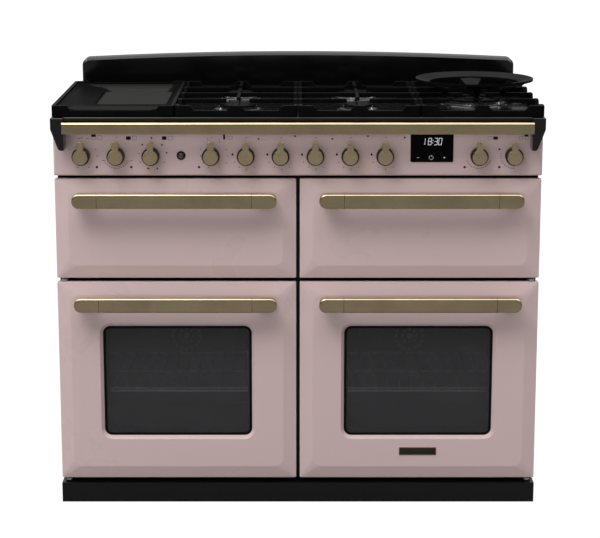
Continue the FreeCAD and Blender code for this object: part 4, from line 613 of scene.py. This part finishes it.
def notch(bm, x, half, y, z):
    """Cuts a slot, open to the back, into a wall that lies at height z."""
    cuts = (((x - half, 0, 0), (1, 0, 0)), ((x + half, 0, 0), (1, 0, 0)), ((0, y, 0), (0, 1, 0)))
    for place, normal in cuts:
        wall = [face for face in bm.faces if abs(face.calc_center_median().z - z) < WALL_BAND]
        around = {edge for face in wall for edge in face.edges}
        corners = {vert for face in wall for vert in face.verts}
        bmesh.ops.bisect_plane(bm, geom=wall + list(around) + list(corners), plane_co=place, plane_no=normal)
    doomed = []
    for face in bm.faces:
        centre = face.calc_center_median()
        if abs(centre.z - z) < WALL_BAND and abs(centre.x - x) < half and centre.y > y:
            doomed.append(face)
    bmesh.ops.delete(bm, geom=doomed, context="FACES")


def window_ring(bm, low, high, inset, radius, y):
    """Ring about a lower door's window, inset from the front edge of its bevel."""
    x0 = low.x + WINDOW_MARGIN[0] + inset
    x1 = high.x - WINDOW_MARGIN[0] - inset
    z0 = low.z + WINDOW_MARGIN[1] + inset
    z1 = high.z - WINDOW_MARGIN[1] - inset
    return add_ring(bm, x0, x1, z0, z1, radius, y)


def door_skin(body):
    """Pressed door front with a soft raised border, and a bevelled window in the lower doors."""
    low, high = drawn_box(body + "_panel")
    side = 1 if low.x > 0 else -1
    bm = bmesh.new()

    def ring(inset, y):
        radius = OUTER_CORNER + (FLAT_CORNER - OUTER_CORNER) * inset / BORDER
        return add_ring(bm, low.x + inset, high.x - inset, low.z + inset, high.z - inset, radius, y)

    rings = [ring(0.0, high.y)]
    rings += [ring(inset, y) for inset, y in EDGE_ROLL]
    rings += [ring(inset, border_drop(inset)) for inset in BORDER_INSETS]
    if DOORS[body] == "lower":
        rings += [window_ring(bm, low, high, inset, WINDOW_CORNER - inset, y) for inset, y in WINDOW_BEVEL]
        bridged(bm, rings)
        for z in (low.z, high.z):
            notch(bm, side * SIDE_PIN_X, *SIDE_NOTCH, z)
    else:
        bridged(bm, rings)
        bmesh.ops.edgeloop_fill(bm, edges=rings[-1])
        for x in DROP_HINGES:
            notch(bm, side * x, *DROP_NOTCH, low.z)
    facing_front(bm)
    skin = as_piece(bm, body + "_skin", body, pink, SKIN_ANGLE)
    wall = skin.modifiers.new("sheet", "SOLIDIFY")
    wall.thickness = SKIN * MM
    wall.offset = -1.0
    wall.use_even_offset = True
    even_shading(skin)
    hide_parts(body + "_panel")


for body in DOORS:
    door_skin(body)

# Printed border round each oven window: inset and corner radius of its outer and inner edge

PRINT_RINGS = ((6.2, 17.8), (12.5, 11.5))
PRINT_DEPTH = 7.9

for body in ("left_door", "right_door"):
    low, high = drawn_box(body + "_panel")
    bm = bmesh.new()
    bridged(bm, [window_ring(bm, low, high, inset, radius, PRINT_DEPTH) for inset, radius in PRINT_RINGS])
    facing_front(bm)
    as_piece(bm, body + "_window_border", body, window_print)

# Burners: centre and crown radius, then centre, half width and half length of the griddle's long one

HOB_Z = drawn_box("hob_top")[1].z
ROUND_BURNERS = ((-136.5, 101.5, 44.0), (-136.5, 325.5, 34.0), (136.5, 101.5, 34.0), (136.5, 325.5, 44.0),
                 (409.5, 213.5, 64.0))
LONG_BURNER = (-409.5, 213.5, 27.0, 115.0)
WOK_CROWNS = ((64.0, 44.0), (24.0, 0.0))
SOCKET_RADIUS = 19.5
SOCKET_FLOOR = HOB_Z - 22.0
CROWN_FOOT = HOB_Z + 3.0
CROWN_TOP = HOB_Z + 9.0
LONG_FOOT = HOB_Z + 1.4
LONG_TOP = HOB_Z + 4.0
LONG_SLICES = 28
LONG_END = 26.0
CROWN_STEPS = 36
PORT = (0.9, 2.2)
LONG_PORT = (0.5, 2.0)


def ported(bm, width, depth, centre=(0.0, 0.0), beyond=0.0):
    """Sinks flame ports into every second upright face outside a radius."""
    sides = []
    for face in bm.faces:
        middle = face.calc_center_median()
        distance = math.hypot(middle.x - centre[0], middle.y - centre[1])
        if abs(face.normal.z) < 0.5 and distance > beyond:
            sides.append(face)
    bmesh.ops.inset_individual(bm, faces=sides[::2], thickness=width, depth=-depth, use_even_offset=True)


heads = bmesh.new()
bases = bmesh.new()
for x, y, radius in ROUND_BURNERS:
    joined_in(bases, turned(x, y, (
        (0, SOCKET_FLOOR), (SOCKET_RADIUS, SOCKET_FLOOR), (SOCKET_RADIUS, HOB_Z), (radius + 5.4, HOB_Z),
        (radius + 6.0, HOB_Z + 0.8), (radius + 5.2, HOB_Z + 2.2), (radius + 3.4, CROWN_FOOT),
        (0, CROWN_FOOT))))
    crowns = WOK_CROWNS if radius == WOK_CROWNS[0][0] else ((radius, 0.0),)
    for outer, inner in crowns:
        profile = [(inner, CROWN_FOOT), (outer, CROWN_FOOT), (outer - 0.6, CROWN_TOP), (inner, CROWN_TOP)]
        if inner:
            profile.append(profile[0])
        crown = turned(x, y, profile, max(CROWN_STEPS, int(outer * 1.5) // 2 * 2))
        ported(crown, *PORT, (x, y), outer - 2.0)
        joined_in(heads, crown)
x, y, half, length = LONG_BURNER
joined_in(bases, level_plate(x - half, x + half, y - length, y + length, half - 0.5, HOB_Z, HOB_Z + 1.5))
crown = level_plate(x - half + 1.0, x + half - 1.0, y - length + 1.0, y + length - 1.0, half - 1.5,
                    LONG_FOOT, LONG_TOP, 12)
pitch = (length - LONG_END) * 2.0 / LONG_SLICES
for place in range(1, LONG_SLICES):
    split_at(crown, (0, y - length + LONG_END + place * pitch, 0), (0, 1, 0))
ported(crown, *LONG_PORT)
joined_in(heads, crown)
joined_in(bases, turned(x, y, ((0, SOCKET_FLOOR), (SOCKET_RADIUS, SOCKET_FLOOR),
                               (SOCKET_RADIUS, HOB_Z + 0.5), (0, HOB_Z + 0.5)), 48))
burner_heads = as_piece(heads, "burner_crowns", "cooker", aluminium)
burner_bases = as_piece(bases, "burner_bases", "cooker", black_satin)
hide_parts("burner_heads")
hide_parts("burner_heads")

# Griddle plate: a cast tray with a bare floor, sloping walls and low lips at the front and back

PLATE_X = (-534.7, -284.3)
PLATE_Y = (-12.5, 439.5)
PLATE_FLOOR = 916.0
PLATE_RIM = 927.0
PLATE_DIP = 5.5
# Insets from the left, right, front and back, corner radius and height, from under the floor to its top.
PLATE_RINGS = (((76.0, 13.0, 115.0, 92.0), 17.0, PLATE_FLOOR - 3.0),
               ((1.5, 1.5, 1.5, 1.5), 21.0, PLATE_RIM - 1.6),
               ((0.0, 0.0, 0.0, 0.0), 21.0, PLATE_RIM - 0.8),
               ((0.6, 0.6, 0.6, 0.6), 20.4, PLATE_RIM),
               ((2.6, 2.6, 2.6, 2.6), 18.4, PLATE_RIM),
               ((3.6, 3.4, 3.6, 3.6), 18.0, PLATE_RIM - 0.6),
               ((14.0, 5.0, 16.0, 6.0), 18.0, PLATE_RIM - 5.4),
               ((52.0, 10.0, 86.0, 40.0), 18.0, PLATE_RIM - 6.6),
               ((72.0, 14.6, 112.0, 88.0), 16.0, PLATE_FLOOR + 1.6),
               ((73.0, 15.6, 112.0, 90.0), 15.0, PLATE_FLOOR + 0.25),
               ((79.0, 16.0, 118.0, 95.0), 14.0, PLATE_FLOOR))
LIP_X = (-499.2, -319.8)
LIP_FOOT = 919.3
LIPS_Y = ((-22.7, -8.0), (435.0, 449.7))

tray = bmesh.new()
rings = []
for (left, right, front, back), radius, height in PLATE_RINGS:
    # The rings are drawn upright, and laid down once they are joined.
    rings.append(add_ring(tray, PLATE_X[0] + left, PLATE_X[1] - right, PLATE_Y[0] + front, PLATE_Y[1] - back,
                          radius, -height))
bridged(tray, rings)
bmesh.ops.edgeloop_fill(tray, edges=rings[0])
bmesh.ops.edgeloop_fill(tray, edges=rings[-1])
swung(tray, -90.0, "X")
bmesh.ops.recalc_face_normals(tray, faces=tray.faces[:])
for y0, y1 in LIPS_Y:
    lip = level_plate(*LIP_X, y0, y1, 3.0, LIP_FOOT, PLATE_RIM, 4)
    eased(lip, edges_at(lip, 2, PLATE_RIM), 0.8, 2)
    joined_in(tray, lip)
for vert in tray.verts:
    if vert.co.y < 0.0 and vert.co.z > PLATE_RIM - PLATE_DIP - 1.0:
        vert.co.z -= PLATE_DIP
griddle = as_piece(tray, "griddle_tray", "griddle_plate", griddle_iron, SOFT_ANGLE)
even_shading(griddle)
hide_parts("griddle_plate")

# Spill rims pressed round each burner, and the spark electrodes beside them

SPILL_GAP = 9.0
SPARK_GAP = 3.0
SPARK_TURNS = (215.0, 325.0)

rims = bmesh.new()
for x, y, radius in ROUND_BURNERS:
    inner = radius + SPILL_GAP
    joined_in(rims, turned(x, y, (
        (inner, HOB_Z - 0.5), (inner + 1.0, HOB_Z + 0.5), (inner + 3.0, HOB_Z + 1.1),
        (inner + 5.0, HOB_Z + 0.5), (inner + 6.0, HOB_Z - 0.5), (inner, HOB_Z - 0.5))))
as_piece(rims, "spill_rims", "cooker", black)

sparks = bmesh.new()
tips = bmesh.new()
for x, y, radius in ROUND_BURNERS:
    turn = math.radians(SPARK_TURNS[x > 0])
    ex = x + (radius + SPARK_GAP) * math.cos(turn)
    ey = y + (radius + SPARK_GAP) * math.sin(turn)
    joined_in(sparks, turned(ex, ey, ((0, HOB_Z + 2.0), (2.1, HOB_Z + 2.0), (2.1, HOB_Z + 6.0),
                                      (1.3, HOB_Z + 7.0), (0, HOB_Z + 7.0)), 20))
    joined_in(tips, turned(ex, ey, ((0, HOB_Z + 6.8), (0.6, HOB_Z + 6.8), (0.6, HOB_Z + 9.4),
                                    (0, HOB_Z + 9.8)), 12))
as_piece(sparks, "spark_ceramics", "cooker", ceramic)
as_piece(tips, "spark_tips", "cooker", element_steel)

# Knobs: a round face with a broad round-ended pointer, on a dark bronze collar whose dark colour is partly
# its own and partly painted shade of the gap behind the face

KNOB_Z = 815.5
KNOB_FACE = 16.4
KNOB_STEPS = 56
COLLAR_RADIUS = 20.0
COLLAR_SETBACK = 11.0
SPINDLE_RADIUS = 4.0
POINTER_HALF = 7.2
POINTER_DEPTH = 14.0
POINTER_TAIL = 4.0


def knob_x(number):
    low, high = drawn_box("knob_%d" % number)
    return (low.x + high.x) / 2.0


for number, name in enumerate(KNOBS, 1):
    low, high = drawn_box(name)
    centre = knob_x(number)
    reach = -low.y
    setback = reach - COLLAR_SETBACK
    face = looking_forward(turned(0.0, 0.0, (
        (0, setback - 1.0), (KNOB_FACE, setback - 1.0), (KNOB_FACE, reach - 1.5),
        (KNOB_FACE - 0.3, reach - 0.8), (KNOB_FACE - 1.1, reach - 0.4), (0, reach - 0.4)),
        KNOB_STEPS), centre, 0.0, KNOB_Z)
    pointer = upright_block(centre - POINTER_HALF, centre + POINTER_HALF, KNOB_Z - POINTER_TAIL, high.z,
                            POINTER_HALF - 0.1, low.y + POINTER_DEPTH, POINTER_DEPTH, 10)
    eased(pointer, edges_at(pointer, 1, low.y), 0.9, 3)
    joined_in(face, pointer)
    knob_face = as_piece(face, name + "_face", name, brass_knob, SOFT_ANGLE)
    even_shading(knob_face)
    # The collar's dark bronze is partly painted shade, for the dark ring round the knob's face.
    collar = looking_forward(turned(0.0, 0.0, (
        (0, -high.y), (SPINDLE_RADIUS, -high.y), (SPINDLE_RADIUS, 0.3), (COLLAR_RADIUS - 1.0, 0.3),
        (COLLAR_RADIUS, setback - 1.4), (COLLAR_RADIUS - 0.6, setback - 0.4), (COLLAR_RADIUS - 1.8, setback),
        (0, setback)), KNOB_STEPS), centre, 0.0, KNOB_Z)
    collar_with_shade = as_piece(collar, name + "_skirt", name, plate_bronze, SOFT_ANGLE)
    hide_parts(name)
    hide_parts(name)

# Handles: a grip bar between two round-ended castings, with a thin dark bronze slab in the gap at each joint
# as painted shade

HANDLE_END = 55.6
HANDLE_DEPTH = 22.0
HANDLE_CORNER = 15.6
HANDLE_RIM = 4.6
SEAM = 0.6
POST_LENGTH = 42.0
POST_INSET = 4.0
POST_DROP = 9.5
POST_CORNER = 6.0
POST_OVERLAP = 0.5


def slab(whole, x0, x1):
    """Copy of a closed mesh between two upright planes, closed again at the cuts."""
    part = whole.copy()
    for place, side in ((x0, -1.0), (x1, 1.0)):
        if place is not None:
            split_at(part, (place, 0, 0), (side, 0, 0), clear_outer=True)
            close_cut(part)
    return part


def door_handle(body):
    low, high = drawn_box(body + "_handle")
    grip = upright_block(low.x, high.x, low.z, high.z, HANDLE_CORNER, low.y + HANDLE_DEPTH, HANDLE_DEPTH, 14)
    eased(grip, edges_at(grip, 1, low.y), HANDLE_RIM, 5)
    first = low.x + HANDLE_END
    last = high.x - HANDLE_END
    whole = bmesh.new()
    for x0, x1 in ((None, first - SEAM), (first + SEAM, last - SEAM), (last + SEAM, None)):
        joined_in(whole, slab(grip, x0, x1))
    # Dark bronze slabs fill the joint gaps: painted shade in the seams.
    seam_shade = bmesh.new()
    for middle in (first, last):
        joined_in(seam_shade, slab(grip, middle - SEAM, middle + SEAM))
    grip.free()
    bmesh.ops.recalc_face_normals(seam_shade, faces=seam_shade.faces[:])
    as_piece(seam_shade, body + "_grip_seam_shade", body, plate_bronze, SOFT_ANGLE)
    for start in (low.x + POST_INSET, high.x - POST_INSET - POST_LENGTH):
        joined_in(whole, upright_block(start, start + POST_LENGTH, low.z + POST_DROP, high.z - POST_DROP,
                                       POST_CORNER, high.y, high.y - low.y - HANDLE_DEPTH + POST_OVERLAP, 6))
    bmesh.ops.recalc_face_normals(whole, faces=whole.faces[:])
    handle = as_piece(whole, body + "_grip", body, brass_bar, SOFT_ANGLE)
    even_shading(handle)
    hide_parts(body + "_handle")


for body in DOORS:
    door_handle(body)

# Fascia print: places are steps to the right and down from a knob's centre in a measured sketch

STEP = 2.03 / 6.5 * 1.14
FINE_STEP = 2.03 / 9.18 * 1.04
MARK_SHIFT = 1.6
MARK_LIFT = 2.5
INK = 0.15
FRAME_LINE = 0.55
BIG_DOT = 2.8
marks = bmesh.new()
pale_marks = bmesh.new()


def print_dot(bm, x, z, radius, y=0.0, depth=INK):
    """Thin printed disc."""
    disc = bmesh.new()
    bmesh.ops.create_circle(disc, cap_ends=True, segments=20, radius=radius)
    looking_forward(disc, x, y, z)
    thickened(disc, (0, -depth, 0))
    joined_in(bm, disc)


def print_bar(bm, x0, x1, z0, z1, turn=0.0, y=0.0, depth=INK):
    """Thin printed bar, turned about its middle."""
    bar = bmesh.new()
    corners = [bar.verts.new((x, y, z)) for x, z in ((x0, z0), (x1, z0), (x1, z1), (x0, z1))]
    bar.faces.new(corners)
    swung(bar, turn, "Y", ((x0 + x1) / 2.0, y, (z0 + z1) / 2.0))
    thickened(bar, (0, -depth, 0))
    joined_in(bm, bar)


def print_frame(bm, x0, x1, z0, z1, width=FRAME_LINE):
    print_bar(bm, x0, x1, z0, z0 + width)
    print_bar(bm, x0, x1, z1 - width, z1)
    print_bar(bm, x0, x0 + width, z0 + width, z1 - width)
    print_bar(bm, x1 - width, x1, z0 + width, z1 - width)


def mark_place(number, dx, dz, step=STEP):
    return knob_x(number) + dx * step + MARK_SHIFT, KNOB_Z - dz * step + MARK_LIFT


def dots_at(bm, number, places, radius):
    for dx, dz in places:
        x, z = mark_place(number, dx, dz)
        print_dot(bm, x, z, radius)


def dash_at(bm, number, dx, dz, half, thick, turn=0.0):
    x, z = mark_place(number, dx, dz)
    print_bar(bm, x - half, x + half, z - thick, z + thick, turn)


def box_at(number, x0, x1, z0, z1, filled, step=STEP):
    left, top = mark_place(number, x0, z0, step)
    right, bottom = mark_place(number, x1, z1, step)
    draw = print_bar if filled else print_frame
    draw(marks, left, right, bottom, top)


for number, dx in ((1, 90), (2, 88), (4, -80), (10, -92), (11, -92)):
    dots_at(marks, number, ((dx, 81),), BIG_DOT)
for number, first, count in ((2, -66.0, 13), (10, -66.0, 13), (11, -99.0, 10)):
    for place in range(count):
        turn = math.radians(first + 11.0 * place)
        dots_at(marks, number, ((80 * math.sin(turn) - 4, 80 * math.cos(turn) + 9),), 1.1)

dots_at(pale_marks, 1, ((0, -105), (-80, -32), (85, -32), (93, 10), (-30, 82), (40, 82)), 1.15)
for dx in (-18, 36):
    dash_at(marks, 1, dx, -100, 3.4, 0.5)
box_at(1, 60, 87, -128, -112, True)
box_at(1, 60, 90, -112, -92, False)
box_at(1, 100, 127, -118, -92, False)

dots_at(marks, 2, ((0, -105),), 1.0)
for dx, turn in ((-87, 20), (90, -20)):
    dash_at(marks, 2, dx, 40, 2.2, 0.6, turn)
box_at(2, 58, 88, -114, -92, True)
box_at(2, 98, 123, -116, -90, False)

dots_at(pale_marks, 3, ((0, -105), (-59, -62), (65, -60), (-24, 90), (33, 90)), 2.0)
dots_at(pale_marks, 3, ((93, -10),), 1.9)
for dx, turn in ((-72, 20), (80, -20)):
    dash_at(pale_marks, 3, dx, 49, 2.4, 0.6, turn)
x, z = mark_place(3, -80, -5)
print_bar(pale_marks, x - 2.2, x + 0.2, z - 0.55, z + 0.55, 55)
print_bar(pale_marks, x - 0.2, x + 2.2, z - 0.55, z + 0.55, -55)
box_at(3, 65, 93, -114, -92, True)
box_at(3, 103, 133, -116, -90, False)

dots_at(pale_marks, 4, ((-25, -98), (0, -105), (48, -95), (48, -80), (-70, -32), (-70, 10), (-55, 55),
                        (-20, 85), (48, 85), (90, -30), (98, 15), (90, 55)), 1.05)
box_at(4, 72, 85, -126, -94, True)
box_at(4, 100, 130, -116, -95, False)

# Each gas knob has a small flame, and a ring of dots with one large dot for its burner.
BURNER_DOTS = {5: (76, -98), 6: (86, -114), 7: (101, -98), 8: (106, -114), 9: (118, -106)}
BURNER_FRAME = ((65, -92), (81, -92), (97, -92), (113, -92), (127, -92), (65, -120), (81, -120), (97, -120),
                (113, -120), (127, -120), (65, -106), (127, -106))
for number, burner in BURNER_DOTS.items():
    x, z = mark_place(number, -88, 0)
    print_dot(marks, x, z - 0.6, 2.4)
    print_bar(marks, x - 1.1, x + 1.1, z - 0.4, z + 2.6, 8)
    dots_at(pale_marks, number, ((0, -105), (-77, 50), (-45, 82), (0, 95), (50, 82)), 1.1)
    dots_at(pale_marks, number, BURNER_FRAME, 0.45)
    dots_at(marks, number, (burner,), 2.1)

dots_at(marks, 11, ((-94, -32),), 2.2)
for number, x0, x1, z0, z1, filled in ((10, 78, 120, -177, -147, False), (10, 130, 175, -175, -145, True),
                                       (11, 45, 78, -177, -147, False), (11, 98, 133, -177, -147, False),
                                       (11, 93, 133, -194, -177, True)):
    box_at(number, x0, x1, z0, z1, filled, FINE_STEP)
as_piece(marks, "fascia_marks", "cooker", fascia_print)
as_piece(pale_marks, "fascia_fine_marks", "cooker", fascia_print_pale)

# Clock display: strokes of a digit as shares of its width and height, 1 for an upright one

SEGMENTS = {"a": (0.5, 1.0, 0), "b": (1.0, 0.75, 1), "c": (1.0, 0.25, 1), "d": (0.5, 0.0, 0),
            "e": (0.0, 0.25, 1), "f": (0.0, 0.75, 1), "g": (0.5, 0.5, 0)}
DIGITS = {"1": "bc", "8": "abcdefg", "3": "abcdg", "0": "abcdef"}
CLOCK = (("1", 24.7), ("8", 38.6), ("3", 52.2), ("0", 61.8))
CLOCK_DROP = 27.4
COLON_X = 48.6
COLON_SHARES = (0.28, 0.68)
COLON_DOT = 0.9
DIGIT_WIDTH = 6.6
DIGIT_HEIGHT = 15.0
STROKE = 0.8
SLANT = 0.12
SYMBOL_DROP = 55.6
MINUS_X = (14.6, 19.6)
PLUS_X = (73.6, 78.2)
PLUS_UPRIGHT_X = (75.72, 76.08)
PLUS_HALF = 2.1
THIN = 0.18
POWER_X = 46.3
POWER_RADIUS = 4.5
POWER_BAR_X = (46.05, 46.55)
POWER_BAR_Z = (1.4, 5.6)
GLOW_DEPTH = 0.05
CROSSED_DEPTH = 0.06

low, high = drawn_box("display_glass")
lights = bmesh.new()
front = low.y


def light_bar(x0, x1, z0, z1, turn=0.0, depth=GLOW_DEPTH):
    print_bar(lights, x0, x1, z0, z1, turn, front, depth)


def digit(character, x, z):
    for name in DIGITS[character]:
        share_x, share_z, upright = SEGMENTS[name]
        cx = x + share_x * DIGIT_WIDTH
        cz = z + share_z * DIGIT_HEIGHT
        if upright:
            half = DIGIT_HEIGHT / 4.0 - STROKE * 0.35
            light_bar(cx - STROKE / 2, cx + STROKE / 2, cz - half, cz + half)
        else:
            half = DIGIT_WIDTH / 2.0 - STROKE * 0.2
            light_bar(cx - half, cx + half, cz - STROKE / 2, cz + STROKE / 2)


digit_z = high.z - CLOCK_DROP + STROKE / 2
for character, offset in CLOCK:
    digit(character, low.x + offset, digit_z)
for share in COLON_SHARES:
    print_dot(lights, low.x + COLON_X, digit_z + DIGIT_HEIGHT * share, COLON_DOT, front, GLOW_DEPTH)
for vert in lights.verts:
    vert.co.x += (vert.co.z - digit_z) * SLANT
row_z = high.z - SYMBOL_DROP
for x0, x1 in (MINUS_X, PLUS_X):
    light_bar(low.x + x0, low.x + x1, row_z - THIN, row_z + THIN)
light_bar(low.x + PLUS_UPRIGHT_X[0], low.x + PLUS_UPRIGHT_X[1], row_z - PLUS_HALF, row_z + PLUS_HALF,
          depth=CROSSED_DEPTH)
for place in range(13):
    turn = math.radians(45.0 + 22.5 * place)
    x = low.x + POWER_X + POWER_RADIUS * math.sin(turn)
    z = row_z + POWER_RADIUS * math.cos(turn)
    light_bar(x - 0.95, x + 0.95, z - 0.16, z + 0.16, math.degrees(turn))
light_bar(low.x + POWER_BAR_X[0], low.x + POWER_BAR_X[1], row_z + POWER_BAR_Z[0], row_z + POWER_BAR_Z[1],
          depth=CROSSED_DEPTH)
as_piece(lights, "clock_digits", "cooker", display_light)

# Black bezel round the lamp button

BEZEL = ((6.5, 0.0), (10.0, 0.0), (10.0, 1.0), (9.2, 1.8), (7.2, 1.9), (6.5, 1.2), (6.5, 0.0))
low, high = drawn_box("lamp_button")
bezel = looking_forward(turned(0.0, 0.0, BEZEL, 48), (low.x + high.x) / 2.0, 0.0, KNOB_Z)
as_piece(bezel, "lamp_bezel", "cooker", black_satin)

# Bare name plate on the right-hand lower door


def name_plate(name, x, z, radius, y0, y1, finish, soft):
    """Plate with round corners that stands on the door's front."""
    bm = upright_block(*x, *z, radius, y0, y0 - y1, 5)
    eased(bm, edges_at(bm, 1, y1), soft, 2)
    as_piece(bm, name, "right_door", finish)


name_plate("name_plate_border", (232.6, 318.8), (117.0, 135.9), 2.0, 0.0, -1.2, brass_bar, 0.3)
name_plate("name_plate_field", (233.8, 317.6), (118.2, 134.7), 1.2, -1.0, -1.5, plate_bronze, 0.15)

# Oven lamp lenses on the back walls

LENS_X = 420.0
LENS_DEPTH = 476.0
LENS_Z = 437.0
LENS = ((0.0, 12.0), (9.0, 11.0), (15.0, 8.0), (19.0, 3.0), (22.0, 2.4), (22.0, 0.0), (0.0, 0.0))
for name, x in (("left_oven_lamp", -LENS_X), ("right_oven_lamp", LENS_X)):
    lens = looking_forward(turned(0.0, 0.0, LENS, 40), x, LENS_DEPTH, LENS_Z)
    as_piece(lens, name, "cooker", lamp_glass)

# Studio

KEY_PLACE = Vector((-1.446, -2.705, 3.947))
KEY_AIM = Vector((0.0, -0.2, 0.5))
KEY_SIZE = 2.0
KEY_POWER = 90.0
OVERHEAD = 2.8
LEFT_FILL = 1.6
RIGHT_FILL = 0.1
HORIZON_GLOSS = 0.12
BACK_GLOSS = 0.32
SOFTBOX_GLOSS = 2.1
FLOOR_GLOSS = 0.17
FLOOR_GLOW = 0.95
FLOOR_SIZE = 40.0
# Where the light of the sky changes, as parts of its direction.
OVERHEAD_RISE = (0.62, 0.78)
FILL_FADE = (0.2, 0.45)
SOFTBOX_RISE = (0.34, 0.6)
LEFT_TO_RIGHT = (-0.25, 0.25)
FRONT_TO_BACK = (-0.2, 0.2)
WHITE = (1.0, 1.0, 1.0, 1.0)


def in_scene(name, data):
    added = bpy.data.objects.new(name, data)
    bpy.context.scene.collection.objects.link(added)
    return added


def larger(tree, first, second):
    return node(tree, "Math", [(0, first), (1, second)], operation="MAXIMUM").outputs[0]


def summed(tree, first, second):
    return node(tree, "Math", [(0, first), (1, second)], operation="ADD").outputs[0]


def chosen_by(tree, factor, first, second):
    return node(tree, "Mix", [("Factor", factor), ("A", first), ("B", second)], data_type="FLOAT").outputs[0]


light = bpy.data.lights.new("key", "AREA")
light.shape = "RECTANGLE"
light.size = KEY_SIZE
light.size_y = KEY_SIZE
light.energy = KEY_POWER
key = in_scene("key", light)
key.location = KEY_PLACE
key.rotation_euler = (KEY_AIM - KEY_PLACE).to_track_quat("-Z", "Y").to_euler()

world = bpy.data.worlds.new("studio")
bpy.context.scene.world = world
world.use_nodes = True
tree = world.node_tree
tree.nodes.clear()
path = node(tree, "LightPath")
direction = node(tree, "SeparateXYZ", [(0, node(tree, "TexCoord").outputs["Generated"])]).outputs
# A wide overhead softbox and a low fill from the left light the enamel.
overhead = spread(tree, direction["Z"], 0.0, OVERHEAD, *OVERHEAD_RISE)
side = spread(tree, direction["X"], LEFT_FILL, RIGHT_FILL, *LEFT_TO_RIGHT)
fill = spread(tree, direction["Z"], 1.0, 0.0, *FILL_FADE)
low_fill = node(tree, "Math", [(0, side), (1, fill)], operation="MULTIPLY").outputs[0]
matt = summed(tree, overhead, low_fill)
# Gloss sees a dim room and the bright softbox overhead, and the camera sees plain white.
horizon = spread(tree, direction["Y"], HORIZON_GLOSS, BACK_GLOSS, *FRONT_TO_BACK)
softbox = summed(tree, horizon, spread(tree, direction["Z"], 0.0, SOFTBOX_GLOSS, *SOFTBOX_RISE))
lit = chosen_by(tree, path.outputs["Is Glossy Ray"], matt, softbox)
seen = larger(tree, path.outputs["Is Camera Ray"], path.outputs["Is Transmission Ray"])
glow = node(tree, "Background", [("Color", WHITE), ("Strength", chosen_by(tree, seen, lit, 1.0))])
node(tree, "OutputWorld", [("Surface", glow.outputs[0])])

# The floor is grey to the light that it throws back, and white with a soft shadow where it is seen.
floor_paint, tree, shader = new_finish("white floor", Roughness=0.9)
tone = placed_group(tree, CLOUDY, Scale=1.5)["Tone"]
feed(tree, shader, "Base Color", toned(tree, tone, grey(0.30), grey(0.31)))
path = node(tree, "LightPath")
looks = larger(tree, path.outputs["Is Camera Ray"], path.outputs["Is Glossy Ray"])
looks = larger(tree, looks, path.outputs["Is Transmission Ray"])
glow = chosen_by(tree, path.outputs["Is Glossy Ray"], FLOOR_GLOW, FLOOR_GLOSS)
white = node(tree, "Emission", [("Color", WHITE), ("Strength", glow)])
shaded = node(tree, "BsdfDiffuse", [("Color", grey(0.08))])
backdrop = node(tree, "AddShader", [(0, white.outputs[0]), (1, shaded.outputs[0])])
chosen = node(tree, "MixShader", [(0, looks), (1, shader.outputs[0]), (2, backdrop.outputs[0])])
tree.links.new(chosen.outputs[0], tree.nodes["Material Output"].inputs["Surface"])
floor_bm = bmesh.new()
bmesh.ops.create_grid(floor_bm, x_segments=4, y_segments=4, size=FLOOR_SIZE)
floor_mesh = bpy.data.meshes.new("floor")
floor_bm.to_mesh(floor_mesh)
floor_bm.free()
floor_mesh.materials.append(floor_paint)
in_scene("floor", floor_mesh)

CAMERA_PLACE = (0.0, -4.5057, 1.4759)
CAMERA_DIP = 12.27
camera_data = bpy.data.cameras.new("camera")
camera_data.sensor_width = 36.0
camera_data.sensor_fit = "HORIZONTAL"
camera_data.lens = 115.2
camera_data.shift_x = 0.00336
camera_data.shift_y = 0.00194
camera_data.clip_end = 60.0
camera = in_scene("camera", camera_data)
camera.location = CAMERA_PLACE
camera.rotation_euler = (math.radians(90.0 - CAMERA_DIP), 0.0, 0.0)
bpy.context.scene.camera = camera
bpy.context.scene.view_settings.view_transform = "Standard"
